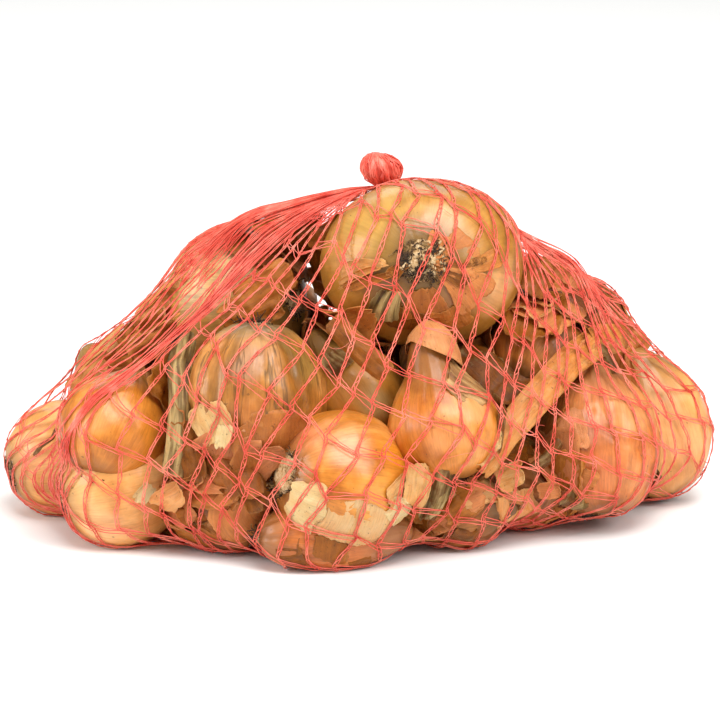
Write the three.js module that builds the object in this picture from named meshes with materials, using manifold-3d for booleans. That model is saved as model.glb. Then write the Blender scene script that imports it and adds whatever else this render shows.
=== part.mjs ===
import * as THREE from 'three';
import { mergeVertices } from 'three/addons/utils/BufferGeometryUtils.js';
import Module from 'manifold-3d';

// A knitted net of yellow shallots, filled, knotted shut and lying on a table.
// Millimetres, +Z up. The origin is on the table under the middle of the net, +X runs
// along the net, and -Y is the side with the golden shallot at its middle.
// Net and shallots are one solid: the net is drawn in over the shallots until it lies on
// them and spans the gaps between them, and the shallots stand a little proud of it.

const NET_RED = '#e8604c';
const NET_ROUGHNESS = 0.6;

// The shallots. at: the middle of the bulb. across and tall: its size without its neck.
// neck: how far the dry neck reaches past the bulb. turn and tilt: which way the neck
// points, in degrees round from +X and up from level. lobes and swell: how many swellings
// a bulb has round its girth, and how high they are as a share of its radius.
const SHALLOTS = Object.values({
  // The upper layer.
  top: { at: [17, -5, 74.3], across: 51, tall: 45, neck: 6, turn: 90, tilt: -15, lobes: 2, swell: 0.1 },
  top_left: { at: [-35, 22, 56], across: 44, tall: 40, neck: 4, turn: 150, tilt: -10, lobes: 2, swell: 0.04 },
  top_right: { at: [60.5, 23, 46.5], across: 33, tall: 34, neck: 4, turn: 150, tilt: 40, lobes: 2, swell: 0.05 },
  top_behind: { at: [16, 34, 47], across: 34, tall: 34, neck: 3, turn: 60, tilt: 20, lobes: 2, swell: 0.04 },
  // The middle layer.
  left_up: { at: [-67.5, -24, 32], across: 29, tall: 30, neck: 4, turn: 60, tilt: 50, lobes: 2, swell: 0.04 },
  striped: { at: [-28.5, -27, 42], across: 38, tall: 42, neck: 4, turn: -90, tilt: -75, lobes: 5, swell: 0.04 },
  middle: { at: [-1, -17, 39.5], across: 27, tall: 28, neck: 8, turn: 150, tilt: 50, lobes: 2, swell: 0.03 },
  necked: { at: [22.5, -33, 34.5], across: 30, tall: 28, neck: 15, turn: 130, tilt: 72, lobes: 2, swell: 0.04 },
  right_middle: { at: [49, -1, 47.5], across: 29, tall: 30, neck: 4, turn: 60, tilt: 30, lobes: 2, swell: 0.04 },
  under_top: { at: [24, 8, 43], across: 26, tall: 26, neck: 4, turn: 0, tilt: 20, lobes: 2, swell: 0.04 },
  // The lower layer, front.
  far_left: { at: [-83.5, 6, 15], across: 32, tall: 34, neck: 5, turn: 20, tilt: 10, lobes: 2, swell: 0.04 },
  left_low: { at: [-66, -22, 15.6], across: 33.5, tall: 34, neck: 4, turn: 15, tilt: 10, lobes: 2, swell: 0.03 },
  low_left: { at: [-37, -29, 13.2], across: 29, tall: 29, neck: 5, turn: -60, tilt: 20, lobes: 2, swell: 0.04 },
  front: { at: [-5, -38.5, 22], across: 38, tall: 38, neck: 6, turn: 30, tilt: -15, lobes: 2, swell: 0.02 },
  under_front: { at: [-9.5, -44.5, 8.8], across: 20, tall: 38, neck: 5, turn: 8, tilt: 0, lobes: 3, swell: 0.04 },
  low_middle: { at: [26, -26, 11.4], across: 25, tall: 28, neck: 4, turn: -20, tilt: 5, lobes: 2, swell: 0.04 },
  low_right: { at: [46, -10, 12], across: 25, tall: 28, neck: 4, turn: -70, tilt: 10, lobes: 2, swell: 0.04 },
  right: { at: [66, -9, 23], across: 34, tall: 40, neck: 7, turn: 100, tilt: 70, lobes: 3, swell: 0.05 },
  far_right: { at: [84, 15, 21], across: 31, tall: 41, neck: 4, turn: 180, tilt: 75, lobes: 3, swell: 0.05 },
  // The lower layer, middle and back.
  shoulder: { at: [-65, 17, 20], across: 36, tall: 42, neck: 7, turn: 160, tilt: 60, lobes: 2, swell: 0.04 },
  inner_left: { at: [-36, 6, 15.6], across: 34, tall: 34, neck: 4, turn: 30, tilt: 30, lobes: 2, swell: 0.03 },
  inner_middle: { at: [1, 3, 16.1], across: 35, tall: 35, neck: 4, turn: -30, tilt: 30, lobes: 2, swell: 0.03 },
  inner_right: { at: [34, 8, 13], across: 28, tall: 30, neck: 4, turn: 60, tilt: 60, lobes: 2, swell: 0.03 },
  back_left: { at: [-43, 38, 15.6], across: 34, tall: 35, neck: 3, turn: 100, tilt: 25, lobes: 2, swell: 0.04 },
  back_middle: { at: [-6, 39, 17], across: 37, tall: 38, neck: 3, turn: 160, tilt: 15, lobes: 2, swell: 0.04 },
  back_right: { at: [31, 37, 15.6], across: 34, tall: 34, neck: 3, turn: 70, tilt: 30, lobes: 3, swell: 0.05 },
  back_far_right: { at: [61, 29, 14], across: 31, tall: 32, neck: 3, turn: 40, tilt: 20, lobes: 2, swell: 0.04 },
});
const NECK_SLIMNESS = 30; // power of the cosine that the neck's spike follows
const SHOULDER_SLIMNESS = 5; // and the shoulder that rises to it
const SHOULDER_SHARE = 0.3; // of the neck's reach
const ROOT_DISC = 1; // how far the root plate is sunk

// The net. Its grid runs from the knot over the shallots to a gather on the table. Each of its
// points slides on its own ray from NET_MIDDLE, in till it meets a shallot.
const NET_AROUND = 60;
const NET_ALONG = 32;
const NET_MIDDLE = new THREE.Vector3(0, 0, 26);
const NET_START = { halfX: 104, halfY: 62, top: 72, bottom: 30 };
const PRESSED = 1; // how far the net is pressed into the table before it is cut flat
const NET_PULLS = 400;
const PULL_ALONG = 1; // the net is drawn tighter along its length than round it
const PULL_ROUND = 0.45;
const PLEATS = 15; // folds that the net is gathered into below the knot
const PLEAT_DEPTH = 0.9;
const PLEAT_ROWS = 9;
const NET_SINK = 1.3; // how far the drawn-in net lies below the skin of a shallot
// Loose net that stands off the shallots, as middles and half sizes of what it would lie on.
const LOOSE_NET = [
  { at: [-22, 17, 66], half: [21, 14, 19] },
  { at: [-49, 15, 52], half: [13, 13, 12] },
  { at: [49, 10, 62], half: [15, 16, 13] },
];

// The knot that the net's end is tied in, standing on the net behind the top shallot.
const KNOT = { at: [6.3, 13, 96.5], across: 10.6, tall: 12, pleats: 10, pleatDepth: 0.09 };
const KNOT_FOOT = new THREE.Vector3(6.3, 13, 91.5); // where the net starts, inside the knot

const TABLE = { side: 400, depth: 40 };
const RAY_STEP = 0.25; // how finely a ray is searched for a shallot
const SHALLOT_SIDES = 18;
const SHALLOT_RINGS = 12;

const radians = THREE.MathUtils.degToRad;
const NECK_AXIS = new THREE.Vector3(0, 0, 1);

// Turns a shallot's own frame, neck along +Z, to where it lies in the net.
function pose(shallot) {
  const turn = radians(shallot.turn);
  const tilt = radians(shallot.tilt);
  const neck = new THREE.Vector3(
    Math.cos(turn) * Math.cos(tilt),
    Math.sin(turn) * Math.cos(tilt),
    Math.sin(tilt),
  );
  const spin = new THREE.Quaternion().setFromUnitVectors(NECK_AXIS, neck);
  return { at: new THREE.Vector3(...shallot.at), spin, back: spin.clone().invert() };
}

// How far the skin of a shallot is from its middle, along a unit vector in its own frame.
function reach(shallot, way) {
  const girth = Math.hypot(way.x, way.y);
  const round = 1 / Math.hypot(girth / (shallot.across / 2), way.z / (shallot.tall / 2));
  const swell = shallot.swell * Math.cos(shallot.lobes * Math.atan2(way.y, way.x));
  const body = round * (1 + swell * girth ** 2);
  if (way.z < 0) return body - ROOT_DISC * way.z ** 40;
  const spike = (1 - SHOULDER_SHARE) * way.z ** NECK_SLIMNESS;
  return body + shallot.neck * (spike + SHOULDER_SHARE * way.z ** SHOULDER_SLIMNESS);
}

function shallotGeometry(shallot) {
  const geometry = new THREE.SphereGeometry(1, SHALLOT_SIDES, SHALLOT_RINGS);
  geometry.rotateX(Math.PI / 2); // the sphere's poles go to the root and the neck
  const { at, spin } = pose(shallot);
  const points = geometry.getAttribute('position');
  const point = new THREE.Vector3();
  for (let i = 0; i < points.count; i++) {
    point.fromBufferAttribute(points, i).normalize();
    point.multiplyScalar(reach(shallot, point)).applyQuaternion(spin).add(at);
    points.setXYZ(i, point.x, point.y, point.z);
  }
  return geometry;
}

// How far out along a ray from NET_MIDDLE a shallot or a patch of loose net still reaches.
function meets(ray, at, far, inside) {
  const along = at.clone().sub(NET_MIDDLE).dot(ray);
  const beside = at.clone().sub(NET_MIDDLE).lengthSq() - along ** 2;
  if (beside > far ** 2) return 0;
  const half = Math.sqrt(far ** 2 - beside);
  const point = new THREE.Vector3();
  for (let out = along + half; out > along - half; out -= RAY_STEP) {
    if (inside(point.copy(ray).multiplyScalar(out).add(NET_MIDDLE).sub(at))) return out;
  }
  return 0;
}

function holdsNet(ray) {
  const held = SHALLOTS.map((shallot) => {
    const { at, back } = pose(shallot);
    const far = Math.max(shallot.across, shallot.tall) * 0.6 + shallot.neck;
    return meets(ray, at, far, (way) => {
      const distance = way.length();
      way.divideScalar(distance || 1).applyQuaternion(back);
      return distance < reach(shallot, way) - NET_SINK;
    });
  });
  const loose = LOOSE_NET.map(({ at, half }) => meets(
    ray,
    new THREE.Vector3(...at),
    Math.max(...half),
    (way) => Math.hypot(way.x / half[0], way.y / half[1], way.z / half[2]) < 1,
  ));
  return Math.max(...held, ...loose);
}

// Draws the net in: each point goes to the weighted middle of its neighbours, as far as its
// ray, the shallots and the table let it.
function drawInNet() {
  const { halfX, halfY, top, bottom } = NET_START;
  const knotWay = KNOT_FOOT.clone().sub(NET_MIDDLE);
  const rows = [];
  for (let row = 0; row <= NET_ALONG; row++) {
    const down = (Math.PI * row) / NET_ALONG;
    const lean = Math.max(Math.cos(down), 0) * top / knotWay.z;
    rows.push([]);
    for (let column = 0; column < NET_AROUND; column++) {
      const round = (2 * Math.PI * column) / NET_AROUND;
      const start = new THREE.Vector3(
        halfX * Math.sin(down) * Math.cos(round) + knotWay.x * lean,
        halfY * Math.sin(down) * Math.sin(round) + knotWay.y * lean,
        Math.cos(down) * (row < NET_ALONG / 2 ? top : bottom),
      );
      const ray = start.clone().normalize();
      const table = ray.z < 0 ? -(NET_MIDDLE.z + PRESSED) / ray.z : Infinity;
      rows[row].push({ ray, table, held: holdsNet(ray), out: Math.min(start.length(), table) });
    }
  }
  rows[0].forEach((point) => { point.out = knotWay.length(); });
  for (let pull = 0; pull < NET_PULLS; pull++) {
    for (let row = 1; row < NET_ALONG; row++) {
      for (let column = 0; column < NET_AROUND; column++) {
        const point = rows[row][column];
        const middle = new THREE.Vector3();
        for (const [near, weight] of [
          [rows[row - 1][column], PULL_ALONG],
          [rows[row + 1][column], PULL_ALONG],
          [rows[row][(column + NET_AROUND - 1) % NET_AROUND], PULL_ROUND],
          [rows[row][(column + 1) % NET_AROUND], PULL_ROUND],
        ]) middle.addScaledVector(near.ray, near.out * weight);
        const drawn = middle.dot(point.ray) / (2 * PULL_ALONG + 2 * PULL_ROUND);
        point.out = Math.min(Math.max(drawn, point.held), point.table);
      }
    }
  }
  return rows.map((points, row) => points.map(({ ray, out }, column) => {
    const fade = row < PLEAT_ROWS ? Math.sin((Math.PI * row) / PLEAT_ROWS) : 0;
    const fold = PLEAT_DEPTH * fade * Math.cos((2 * Math.PI * PLEATS * column) / NET_AROUND);
    return ray.clone().multiplyScalar(out + fold).add(NET_MIDDLE);
  }));
}

function netGeometry() {
  const rows = drawInNet();
  const geometry = new THREE.SphereGeometry(1, NET_AROUND, NET_ALONG);
  const points = geometry.getAttribute('position');
  for (let row = 0; row <= NET_ALONG; row++) {
    for (let column = 0; column <= NET_AROUND; column++) {
      const point = rows[row][column % NET_AROUND];
      points.setXYZ(row * (NET_AROUND + 1) + column, point.x, point.y, point.z);
    }
  }
  return geometry;
}

// A pleated bun on a narrower foot.
function knotGeometry() {
  const radius = KNOT.across / 2;
  const half = KNOT.tall / 2;
  const outline = new THREE.SplineCurve([
    new THREE.Vector2(0, -half * 1.5),
    new THREE.Vector2(radius * 0.72, -half * 1.3),
    new THREE.Vector2(radius * 0.62, -half * 0.75),
    new THREE.Vector2(radius * 0.95, -half * 0.1),
    new THREE.Vector2(radius * 0.88, half * 0.6),
    new THREE.Vector2(0, half * 0.95),
  ]).getPoints(12);
  const geometry = new THREE.LatheGeometry(outline, KNOT.pleats * 4).rotateX(Math.PI / 2);
  const points = geometry.getAttribute('position');
  const point = new THREE.Vector3();
  for (let i = 0; i < points.count; i++) {
    point.fromBufferAttribute(points, i);
    const pleat = 1 + KNOT.pleatDepth * Math.cos(KNOT.pleats * Math.atan2(point.y, point.x));
    points.setXYZ(i, point.x * pleat + KNOT.at[0], point.y * pleat + KNOT.at[1], point.z + KNOT.at[2]);
  }
  return geometry;
}

const wasm = await Module();
wasm.setup();

function solid(geometry) {
  const bare = new THREE.BufferGeometry();
  bare.setIndex(geometry.index).setAttribute('position', geometry.getAttribute('position'));
  const merged = mergeVertices(bare, 1e-3);
  return new wasm.Manifold(new wasm.Mesh({
    numProp: 3,
    vertProperties: new Float32Array(merged.getAttribute('position').array),
    triVerts: new Uint32Array(merged.index.array),
  }));
}

function geometryOf(made) {
  const { vertProperties, triVerts } = made.getMesh();
  const geometry = new THREE.BufferGeometry();
  geometry.setAttribute('position', new THREE.BufferAttribute(new Float32Array(vertProperties), 3));
  geometry.setIndex(new THREE.BufferAttribute(new Uint32Array(triVerts), 1));
  geometry.computeVertexNormals();
  return geometry;
}

// Below the top of the table everything is cut away, which leaves the flat face that the
// net rests on.
function tableGeometry() {
  const { side, depth } = TABLE;
  return new THREE.BoxGeometry(side, side, depth).translate(0, 0, -depth / 2);
}

function filledNetGeometry() {
  let whole = solid(netGeometry()).add(solid(knotGeometry()));
  for (const shallot of SHALLOTS) whole = whole.add(solid(shallotGeometry(shallot)));
  return geometryOf(whole.subtract(solid(tableGeometry())));
}

const group = new THREE.Group();
const filledNet = new THREE.Mesh(
  filledNetGeometry(),
  new THREE.MeshStandardMaterial({ color: NET_RED, roughness: NET_ROUGHNESS, metalness: 0 }),
);
filledNet.name = 'filled_net';
group.add(filledNet);

export default group;
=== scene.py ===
"""A filled net of round yellow shallots, knotted shut and lying on a table.

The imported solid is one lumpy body. Here it is replaced by what it stands for: the
shallots with their dry skins, necks and roots, and the knitted net drawn in over them.
Sizes in the tables are millimetres. The scene is in metres.
"""
import math
import random
from functools import partial

import bmesh
import bpy
import numpy as np
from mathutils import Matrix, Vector, noise
from mathutils.bvhtree import BVHTree


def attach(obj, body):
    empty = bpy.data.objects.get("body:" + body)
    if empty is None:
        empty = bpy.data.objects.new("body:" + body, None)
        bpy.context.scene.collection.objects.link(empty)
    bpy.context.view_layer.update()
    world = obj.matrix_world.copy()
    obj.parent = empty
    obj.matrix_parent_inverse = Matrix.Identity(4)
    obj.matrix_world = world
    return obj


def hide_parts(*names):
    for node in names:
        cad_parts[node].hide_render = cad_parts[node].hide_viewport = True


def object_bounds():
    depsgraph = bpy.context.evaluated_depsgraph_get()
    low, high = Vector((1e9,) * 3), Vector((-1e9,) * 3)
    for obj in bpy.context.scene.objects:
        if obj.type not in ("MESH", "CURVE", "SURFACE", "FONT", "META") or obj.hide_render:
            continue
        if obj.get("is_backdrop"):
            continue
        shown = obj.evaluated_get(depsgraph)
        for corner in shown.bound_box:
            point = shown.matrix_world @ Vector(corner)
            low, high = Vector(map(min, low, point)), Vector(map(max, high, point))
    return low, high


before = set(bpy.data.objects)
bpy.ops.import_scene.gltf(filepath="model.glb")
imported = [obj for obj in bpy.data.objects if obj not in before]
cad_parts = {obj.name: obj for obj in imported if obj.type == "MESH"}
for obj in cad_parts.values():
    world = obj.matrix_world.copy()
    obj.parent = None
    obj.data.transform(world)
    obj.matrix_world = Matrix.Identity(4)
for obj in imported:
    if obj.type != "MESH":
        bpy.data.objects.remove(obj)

bl_info = {
    "name": "Net of shallots",
    "version": (1, 0, 0),
    "blender": (4, 5, 0),
    "location": "3D View > Sidebar > Shallots",
    "description": "Models a knotted net filled with round yellow shallots",
    "category": "Object",
}

NODE = "filled_net"
MM = 0.001
CAD_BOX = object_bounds()

# ---- What lies where ----

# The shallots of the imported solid. at: the middle of the bulb. across and tall: its size
# without its neck. neck: how far the dry neck stands out. turn and tilt: which way the
# neck points, round from +X and up from level. lobes and swell: the swellings round its
# girth. skin: which finish it has.
SHALLOT_COLUMNS = ("at", "across", "tall", "neck", "turn", "tilt", "lobes", "swell", "skin")
SHALLOT_ROWS = [
    ("top", (17, -5, 74.3), 51, 45, 6, 90, -15, 2, 0.1, "olive"),
    ("top_left", (-35, 22, 56), 44, 40, 4, 150, -10, 2, 0.04, "straw"),
    ("top_right", (60.5, 23, 46.5), 33, 34, 4, 150, 40, 2, 0.05, "brown"),
    ("top_behind", (16, 34, 47), 34, 34, 3, 60, 20, 2, 0.04, "golden"),
    ("left_up", (-67.5, -24, 32), 29, 30, 4, 60, 50, 2, 0.04, "golden"),
    ("striped", (-28.5, -27, 42), 38, 42, 4, -90, -75, 5, 0.04, "striped"),
    ("middle", (-1, -17, 39.5), 27, 28, 8, 150, 50, 2, 0.03, "olive"),
    ("necked", (22.5, -33, 34.5), 30, 28, 15, 130, 72, 2, 0.04, "golden"),
    ("right_middle", (49, -1, 47.5), 29, 30, 4, 60, 30, 2, 0.04, "brown"),
    ("under_top", (24, 8, 43), 26, 26, 4, 0, 20, 2, 0.04, "brown"),
    ("far_left", (-83.5, 6, 15), 32, 34, 5, 20, 10, 2, 0.04, "pale"),
    ("left_low", (-66, -22, 15.6), 33.5, 34, 4, 15, 10, 2, 0.03, "pale"),
    ("low_left", (-37, -29, 13.2), 29, 29, 5, -60, 20, 2, 0.04, "brown"),
    ("front", (-5, -38.5, 22), 38, 38, 6, 30, -15, 2, 0.02, "golden"),
    ("under_front", (-9.5, -44.5, 8.8), 20, 38, 5, 8, 0, 3, 0.04, "copper"),
    ("low_middle", (26, -26, 11.4), 25, 28, 4, -20, 5, 2, 0.04, "brown"),
    ("low_right", (46, -10, 12), 25, 28, 4, -70, 10, 2, 0.04, "copper"),
    ("right", (66, -9, 23), 34, 40, 7, 100, 70, 3, 0.05, "copper"),
    ("far_right", (84, 15, 21), 31, 41, 4, 180, 75, 3, 0.05, "pale"),
    ("shoulder", (-65, 17, 20), 36, 42, 7, 160, 60, 2, 0.04, "straw"),
    ("inner_left", (-36, 6, 15.6), 34, 34, 4, 30, 30, 2, 0.03, "brown"),
    ("inner_middle", (1, 3, 16.1), 35, 35, 4, -30, 30, 2, 0.03, "golden"),
    ("inner_right", (34, 8, 13), 28, 30, 4, 60, 60, 2, 0.03, "brown"),
    ("back_left", (-43, 38, 15.6), 34, 35, 3, 100, 25, 2, 0.04, "golden"),
    ("back_middle", (-6, 39, 17), 37, 38, 3, 160, 15, 2, 0.04, "straw"),
    ("back_right", (31, 37, 15.6), 34, 34, 3, 70, 30, 3, 0.05, "copper"),
    ("back_far_right", (61, 29, 14), 31, 32, 3, 40, 20, 2, 0.04, "golden"),
]
SHALLOTS = {name: dict(zip(SHALLOT_COLUMNS, row)) for name, *row in SHALLOT_ROWS}

# Loose net that stands off the shallots, as middles and half sizes of what it lies on.
LOOSE_NET = [
    ((-22, 17, 66), (21, 14, 19)), ((-49, 15, 52), (13, 13, 12)), ((49, 10, 62), (15, 16, 13)),
]

NET_MIDDLE = np.array((0.0, 0.0, 26.0))
KNOT_AT = np.array((6.0, 13.0, 96.9))
KNOT_FOOT = np.array((6.3, 13.0, 92.0))
SKIN_OFF_TABLE = 0.9  # bulbs and skins lie on the net's threads
THREAD_OFF_TABLE = 0.25  # half a thread and a little
SKIN_THICK = 0.13  # of the torn skins
SKIN_BEND = 40.0  # how round loose skins are along their veins

# The camera, as the photographer stood: 15 degrees above the table.
CAMERA_TILT = math.radians(15)
CAMERA_AWAY = 900.0
CAMERA_AIM = np.array((0.0, 0.0, 45.4))
PICTURE_WIDE = 201.1  # what the picture's width takes in at the net's distance
DOTS = 720.0  # the picture's width and height in dots, in which places are given
LOOKING = np.array((0.0, math.cos(CAMERA_TILT), -math.sin(CAMERA_TILT)))
PICTURE_UP = np.array((0.0, math.sin(CAMERA_TILT), math.cos(CAMERA_TILT)))
CAMERA_AT = CAMERA_AIM - LOOKING * CAMERA_AWAY

# ---- Sizes and colours to set ----


def colour_property(name, description, code):
    return bpy.props.StringProperty(name=name, description=description, default=code)


class ShallotSizes(bpy.types.PropertyGroup):
    """How finely the shallots are made."""

    sides: bpy.props.IntProperty(
        name="Sides", description="Faces round a bulb", default=88, min=24
    )
    rings: bpy.props.IntProperty(
        name="Rings", description="Faces from root to neck", default=60, min=16
    )
    lumps: bpy.props.FloatProperty(
        name="Lumps", description="How uneven a bulb is",
        default=0.45 * MM, unit="LENGTH", subtype="DISTANCE",
    )


class NetSizes(bpy.types.PropertyGroup):
    """The knitted net."""

    pillars: bpy.props.IntProperty(
        name="Pillars", description="Strands from the knot down round the heap", default=76, min=12
    )
    mesh: bpy.props.FloatProperty(
        name="Mesh", description="Length of one mesh along a pillar",
        default=11.8 * MM, unit="LENGTH", subtype="DISTANCE",
    )
    turns: bpy.props.IntProperty(
        name="Slant", description="Meshes that a row drops in one turn", default=21
    )
    thread: bpy.props.FloatProperty(
        name="Thread", description="Thickness of a thread",
        default=0.32 * MM, unit="LENGTH", subtype="DISTANCE",
    )
    red: colour_property("Net red", "Colour of the thread", "#ea6450")


class StageSizes(bpy.types.PropertyGroup):
    """Floor and light."""

    floor: colour_property("Floor", "Colour of the floor", "#f4f4f2")
    key: bpy.props.FloatProperty(
        name="Key light", description="Power of the main light", default=15.0, unit="POWER"
    )


# ---- Small helpers ----


def linear(code):
    """An sRGB hex colour as linear red, green, blue and alpha."""
    parts = [int(code[i : i + 2], 16) / 255 for i in (1, 3, 5)]
    return (*[p / 12.92 if p <= 0.04045 else ((p + 0.055) / 1.055) ** 2.4 for p in parts], 1.0)


def plug(made, sockets):
    """Feeds inputs of a node with another node's output, a hex colour or a value each."""
    for into, value in sockets.items():
        if isinstance(value, bpy.types.NodeSocket):
            made.id_data.links.new(value, made.inputs[into])
        else:
            made.inputs[into].default_value = linear(value) if isinstance(value, str) else value


def node(tree, kind, sockets=None, stops=(), **settings):
    """Adds a shader node and returns its first output that is in use.

    sockets says what goes into which input, stops are those of a colour ramp, and settings
    are the node's attributes.
    """
    made = tree.nodes.new("ShaderNode" + kind)
    for key, value in settings.items():
        setattr(made, key, value)
    plug(made, sockets or {})
    for index, (at, value) in enumerate(stops):
        elements = made.color_ramp.elements
        element = elements[index] if index < 2 else elements.new(at)
        element.position = at
        element.color = linear(value) if isinstance(value, str) else (value, value, value, 1)
    return next(socket for socket in made.outputs if socket.enabled)


def new_material(name):
    """A new material, what adds its nodes, its shader and the piece's coordinates in metres."""
    made = bpy.data.materials.new(name)
    made.use_nodes = True
    add = partial(node, made.node_tree)
    place = add("TexCoord").node.outputs["Object"]
    return made, add, made.node_tree.nodes["Principled BSDF"], place


def in_scene(name, data):
    """A new object, in the scene."""
    made = bpy.data.objects.new(name, data)
    bpy.context.scene.collection.objects.link(made)
    return made


def meshed(bm, name):
    """Turns a bmesh into a mesh, and frees it."""
    mesh = bpy.data.meshes.new(name)
    bm.to_mesh(mesh)
    bm.free()
    return mesh


def finished(bm, name, finish):
    """Turns a bmesh in millimetres into a piece of the net."""
    bmesh.ops.scale(bm, vec=(MM, MM, MM), verts=bm.verts)
    for face in bm.faces:
        face.smooth = True
    return placed(meshed(bm, name), name, finish)


def placed(mesh, name, finish):
    piece = in_scene(name, mesh)
    mesh.materials.clear()
    mesh.materials.append(finish)
    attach(piece, "root")
    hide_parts(NODE)
    return piece


def points_of(verts):
    return np.array([v.co for v in verts])


def set_points(verts, points):
    for vert, point in zip(verts, points):
        vert.co = point


def globe(sides, rings):
    """A globe of radius 1 in a new bmesh, and its points."""
    bm = bmesh.new()
    bmesh.ops.create_uvsphere(bm, u_segments=sides, v_segments=rings, radius=1.0)
    return bm, points_of(bm.verts)


def unit(vectors):
    """A vector, or each of many, made 1 long."""
    vectors = np.asarray(vectors, float)
    return vectors / np.maximum(np.linalg.norm(vectors, axis=-1, keepdims=True), 1e-9)


def direction(longitude, latitude):
    """The unit vectors of places on a globe whose north is +Z."""
    flat = np.cos(latitude)
    return np.stack(
        [flat * np.cos(longitude), flat * np.sin(longitude), np.sin(latitude)], axis=-1
    )


def run_of(path):
    """The length of a path up to each of its points."""
    return np.concatenate([[0], np.cumsum(np.linalg.norm(np.diff(path, axis=0), axis=1))])


def hump(value, middle, wide):
    """1 at the middle, fading on both sides."""
    return np.exp(-(((value - middle) / wide) ** 2))


def wobble(points, scale, seed):
    """Smooth noise from -1 to 1 at each point."""
    shift = Vector((seed * 7.31, seed * 3.17, seed * 1.73))
    return np.array([noise.noise(Vector(p) * scale + shift) for p in points])


def smoothstep(low, high, value):
    t = np.clip((value - low) / (high - low), 0, 1)
    return t * t * (3 - 2 * t)


# ---- The shape of a shallot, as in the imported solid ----


def spin_of(shallot):
    """The matrix that turns a shallot's own frame, neck along +Z, to where it lies."""
    turn, tilt = math.radians(shallot["turn"]), math.radians(shallot["tilt"])
    neck = Vector(direction(turn, tilt))
    return np.array(Vector((0, 0, 1)).rotation_difference(neck).to_matrix())


def reach(shallot, ways):
    """How far the skin is from the middle, along unit vectors in the shallot's frame."""
    z = ways[:, 2]
    girth = np.hypot(ways[:, 0], ways[:, 1])
    round_ = 1 / np.hypot(girth / (shallot["across"] / 2), z / (shallot["tall"] / 2))
    swell = shallot["swell"] * np.cos(shallot["lobes"] * np.arctan2(ways[:, 1], ways[:, 0]))
    body = round_ * (1 + swell * girth**2)
    up = np.clip(z, 0, 1)
    spike = shallot["neck"] * (0.7 * up**30 + 0.3 * up**5)
    return body + spike - 1.0 * np.clip(-z, 0, 1) ** 40


for _shallot in SHALLOTS.values():
    _shallot["spin"] = spin_of(_shallot)
    _shallot["middle"] = np.array(_shallot["at"], float)
    _shallot["far"] = max(_shallot["across"], _shallot["tall"]) * 0.6 + _shallot["neck"]


def laid(shallot, points):
    """Points of a shallot's own frame, where the shallot lies."""
    return points @ shallot["spin"].T + shallot["middle"]


def from_middle(shallot, points):
    """How far points are from a shallot's middle, and which way in its own frame."""
    ways = (points - shallot["middle"]) @ shallot["spin"]
    distance = np.maximum(np.linalg.norm(ways, axis=1), 1e-9)
    return distance, ways / distance[:, None]


def inside_shallot(shallot, points, proud=0.0):
    distance, ways = from_middle(shallot, points)
    return distance < reach(shallot, ways) + proud


def depth_in_shallots(points):
    """How deep each point is in the nearest shallot; negative outside them all."""
    deepest = np.full(len(points), -99.0)
    for shallot in SHALLOTS.values():
        distance, ways = from_middle(shallot, points)
        near = distance < shallot["far"] + 12
        if near.any():
            depth = reach(shallot, ways[near]) - distance[near]
            deepest[near] = np.maximum(deepest[near], depth)
    return deepest


# ---- The drawn-in net, as a surface ----

AROUND, ALONG = 180, 110
# The net is drawn in on a coarse grid first, and then in fewer pulls on the fine one.
COARSE_AROUND, COARSE_ALONG = 60, 36
COARSE_PULLS, FINE_PULLS = 700, 260
PULL_ROUND = 0.45  # how strongly it draws in round the heap, against 1 from knot to table
NET_PROUD = 0.45  # how far the net's surface lies off the skins
NET_OFF_TABLE = 0.75  # room under the net's surface for its threads


def net_rays(across=AROUND, along=ALONG):
    """Unit vectors from NET_MIDDLE, in rows from the knot to the table."""
    down = np.linspace(0, math.pi, along + 1)[:, None]
    round_ = np.linspace(0, 2 * math.pi, across, endpoint=False)[None, :]
    to_knot = KNOT_FOOT - NET_MIDDLE
    half_long, half_deep, top, bottom = 104, 62, 72.0, 30.0
    lean = np.clip(np.cos(down), 0, None) * top / to_knot[2]
    # Pillars leave the knot along the net first and then turn down its sides.
    spread_x = np.where(down < math.pi / 2, np.abs(np.sin(down)) ** 0.66, np.sin(down))
    rays = np.stack(
        [
            half_long * spread_x * np.cos(round_) + to_knot[0] * lean,
            half_deep * np.sin(down) * np.sin(round_) + to_knot[1] * lean,
            np.cos(down) * np.where(down < math.pi / 2, top, bottom) + 0 * round_,
        ],
        axis=-1,
    )
    return unit(rays)


def held_out(rays):
    """How far out the shallots and the loose net hold the net on each ray."""
    flat = rays.reshape(-1, 3)
    held = np.zeros(len(flat))
    steps = np.linspace(1, -1, 121)

    def hold(middle, far, inside):
        offset = middle - NET_MIDDLE
        along = flat @ offset
        beside = offset @ offset - along**2
        near = np.nonzero(beside < far**2)[0]
        if not len(near):
            return
        half = np.sqrt(far**2 - beside[near])
        outs = along[near, None] + half[:, None] * steps[None, :]
        points = NET_MIDDLE + outs[..., None] * flat[near, None, :]
        hit = inside(points.reshape(-1, 3)).reshape(outs.shape)
        any_hit = hit.any(axis=1)
        first = hit.argmax(axis=1)
        found = outs[np.arange(len(near)), first]
        held[near] = np.maximum(held[near], np.where(any_hit, found, 0))

    for shallot in SHALLOTS.values():
        hold(shallot["middle"], shallot["far"], partial(inside_shallot, shallot, proud=NET_PROUD))
    for middle, half in LOOSE_NET:
        hold(
            np.array(middle, float), max(half),
            lambda p, m=middle, h=half: (((p - m) / h) ** 2).sum(axis=1) < 1,
        )
    return held.reshape(rays.shape[:2])


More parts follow.
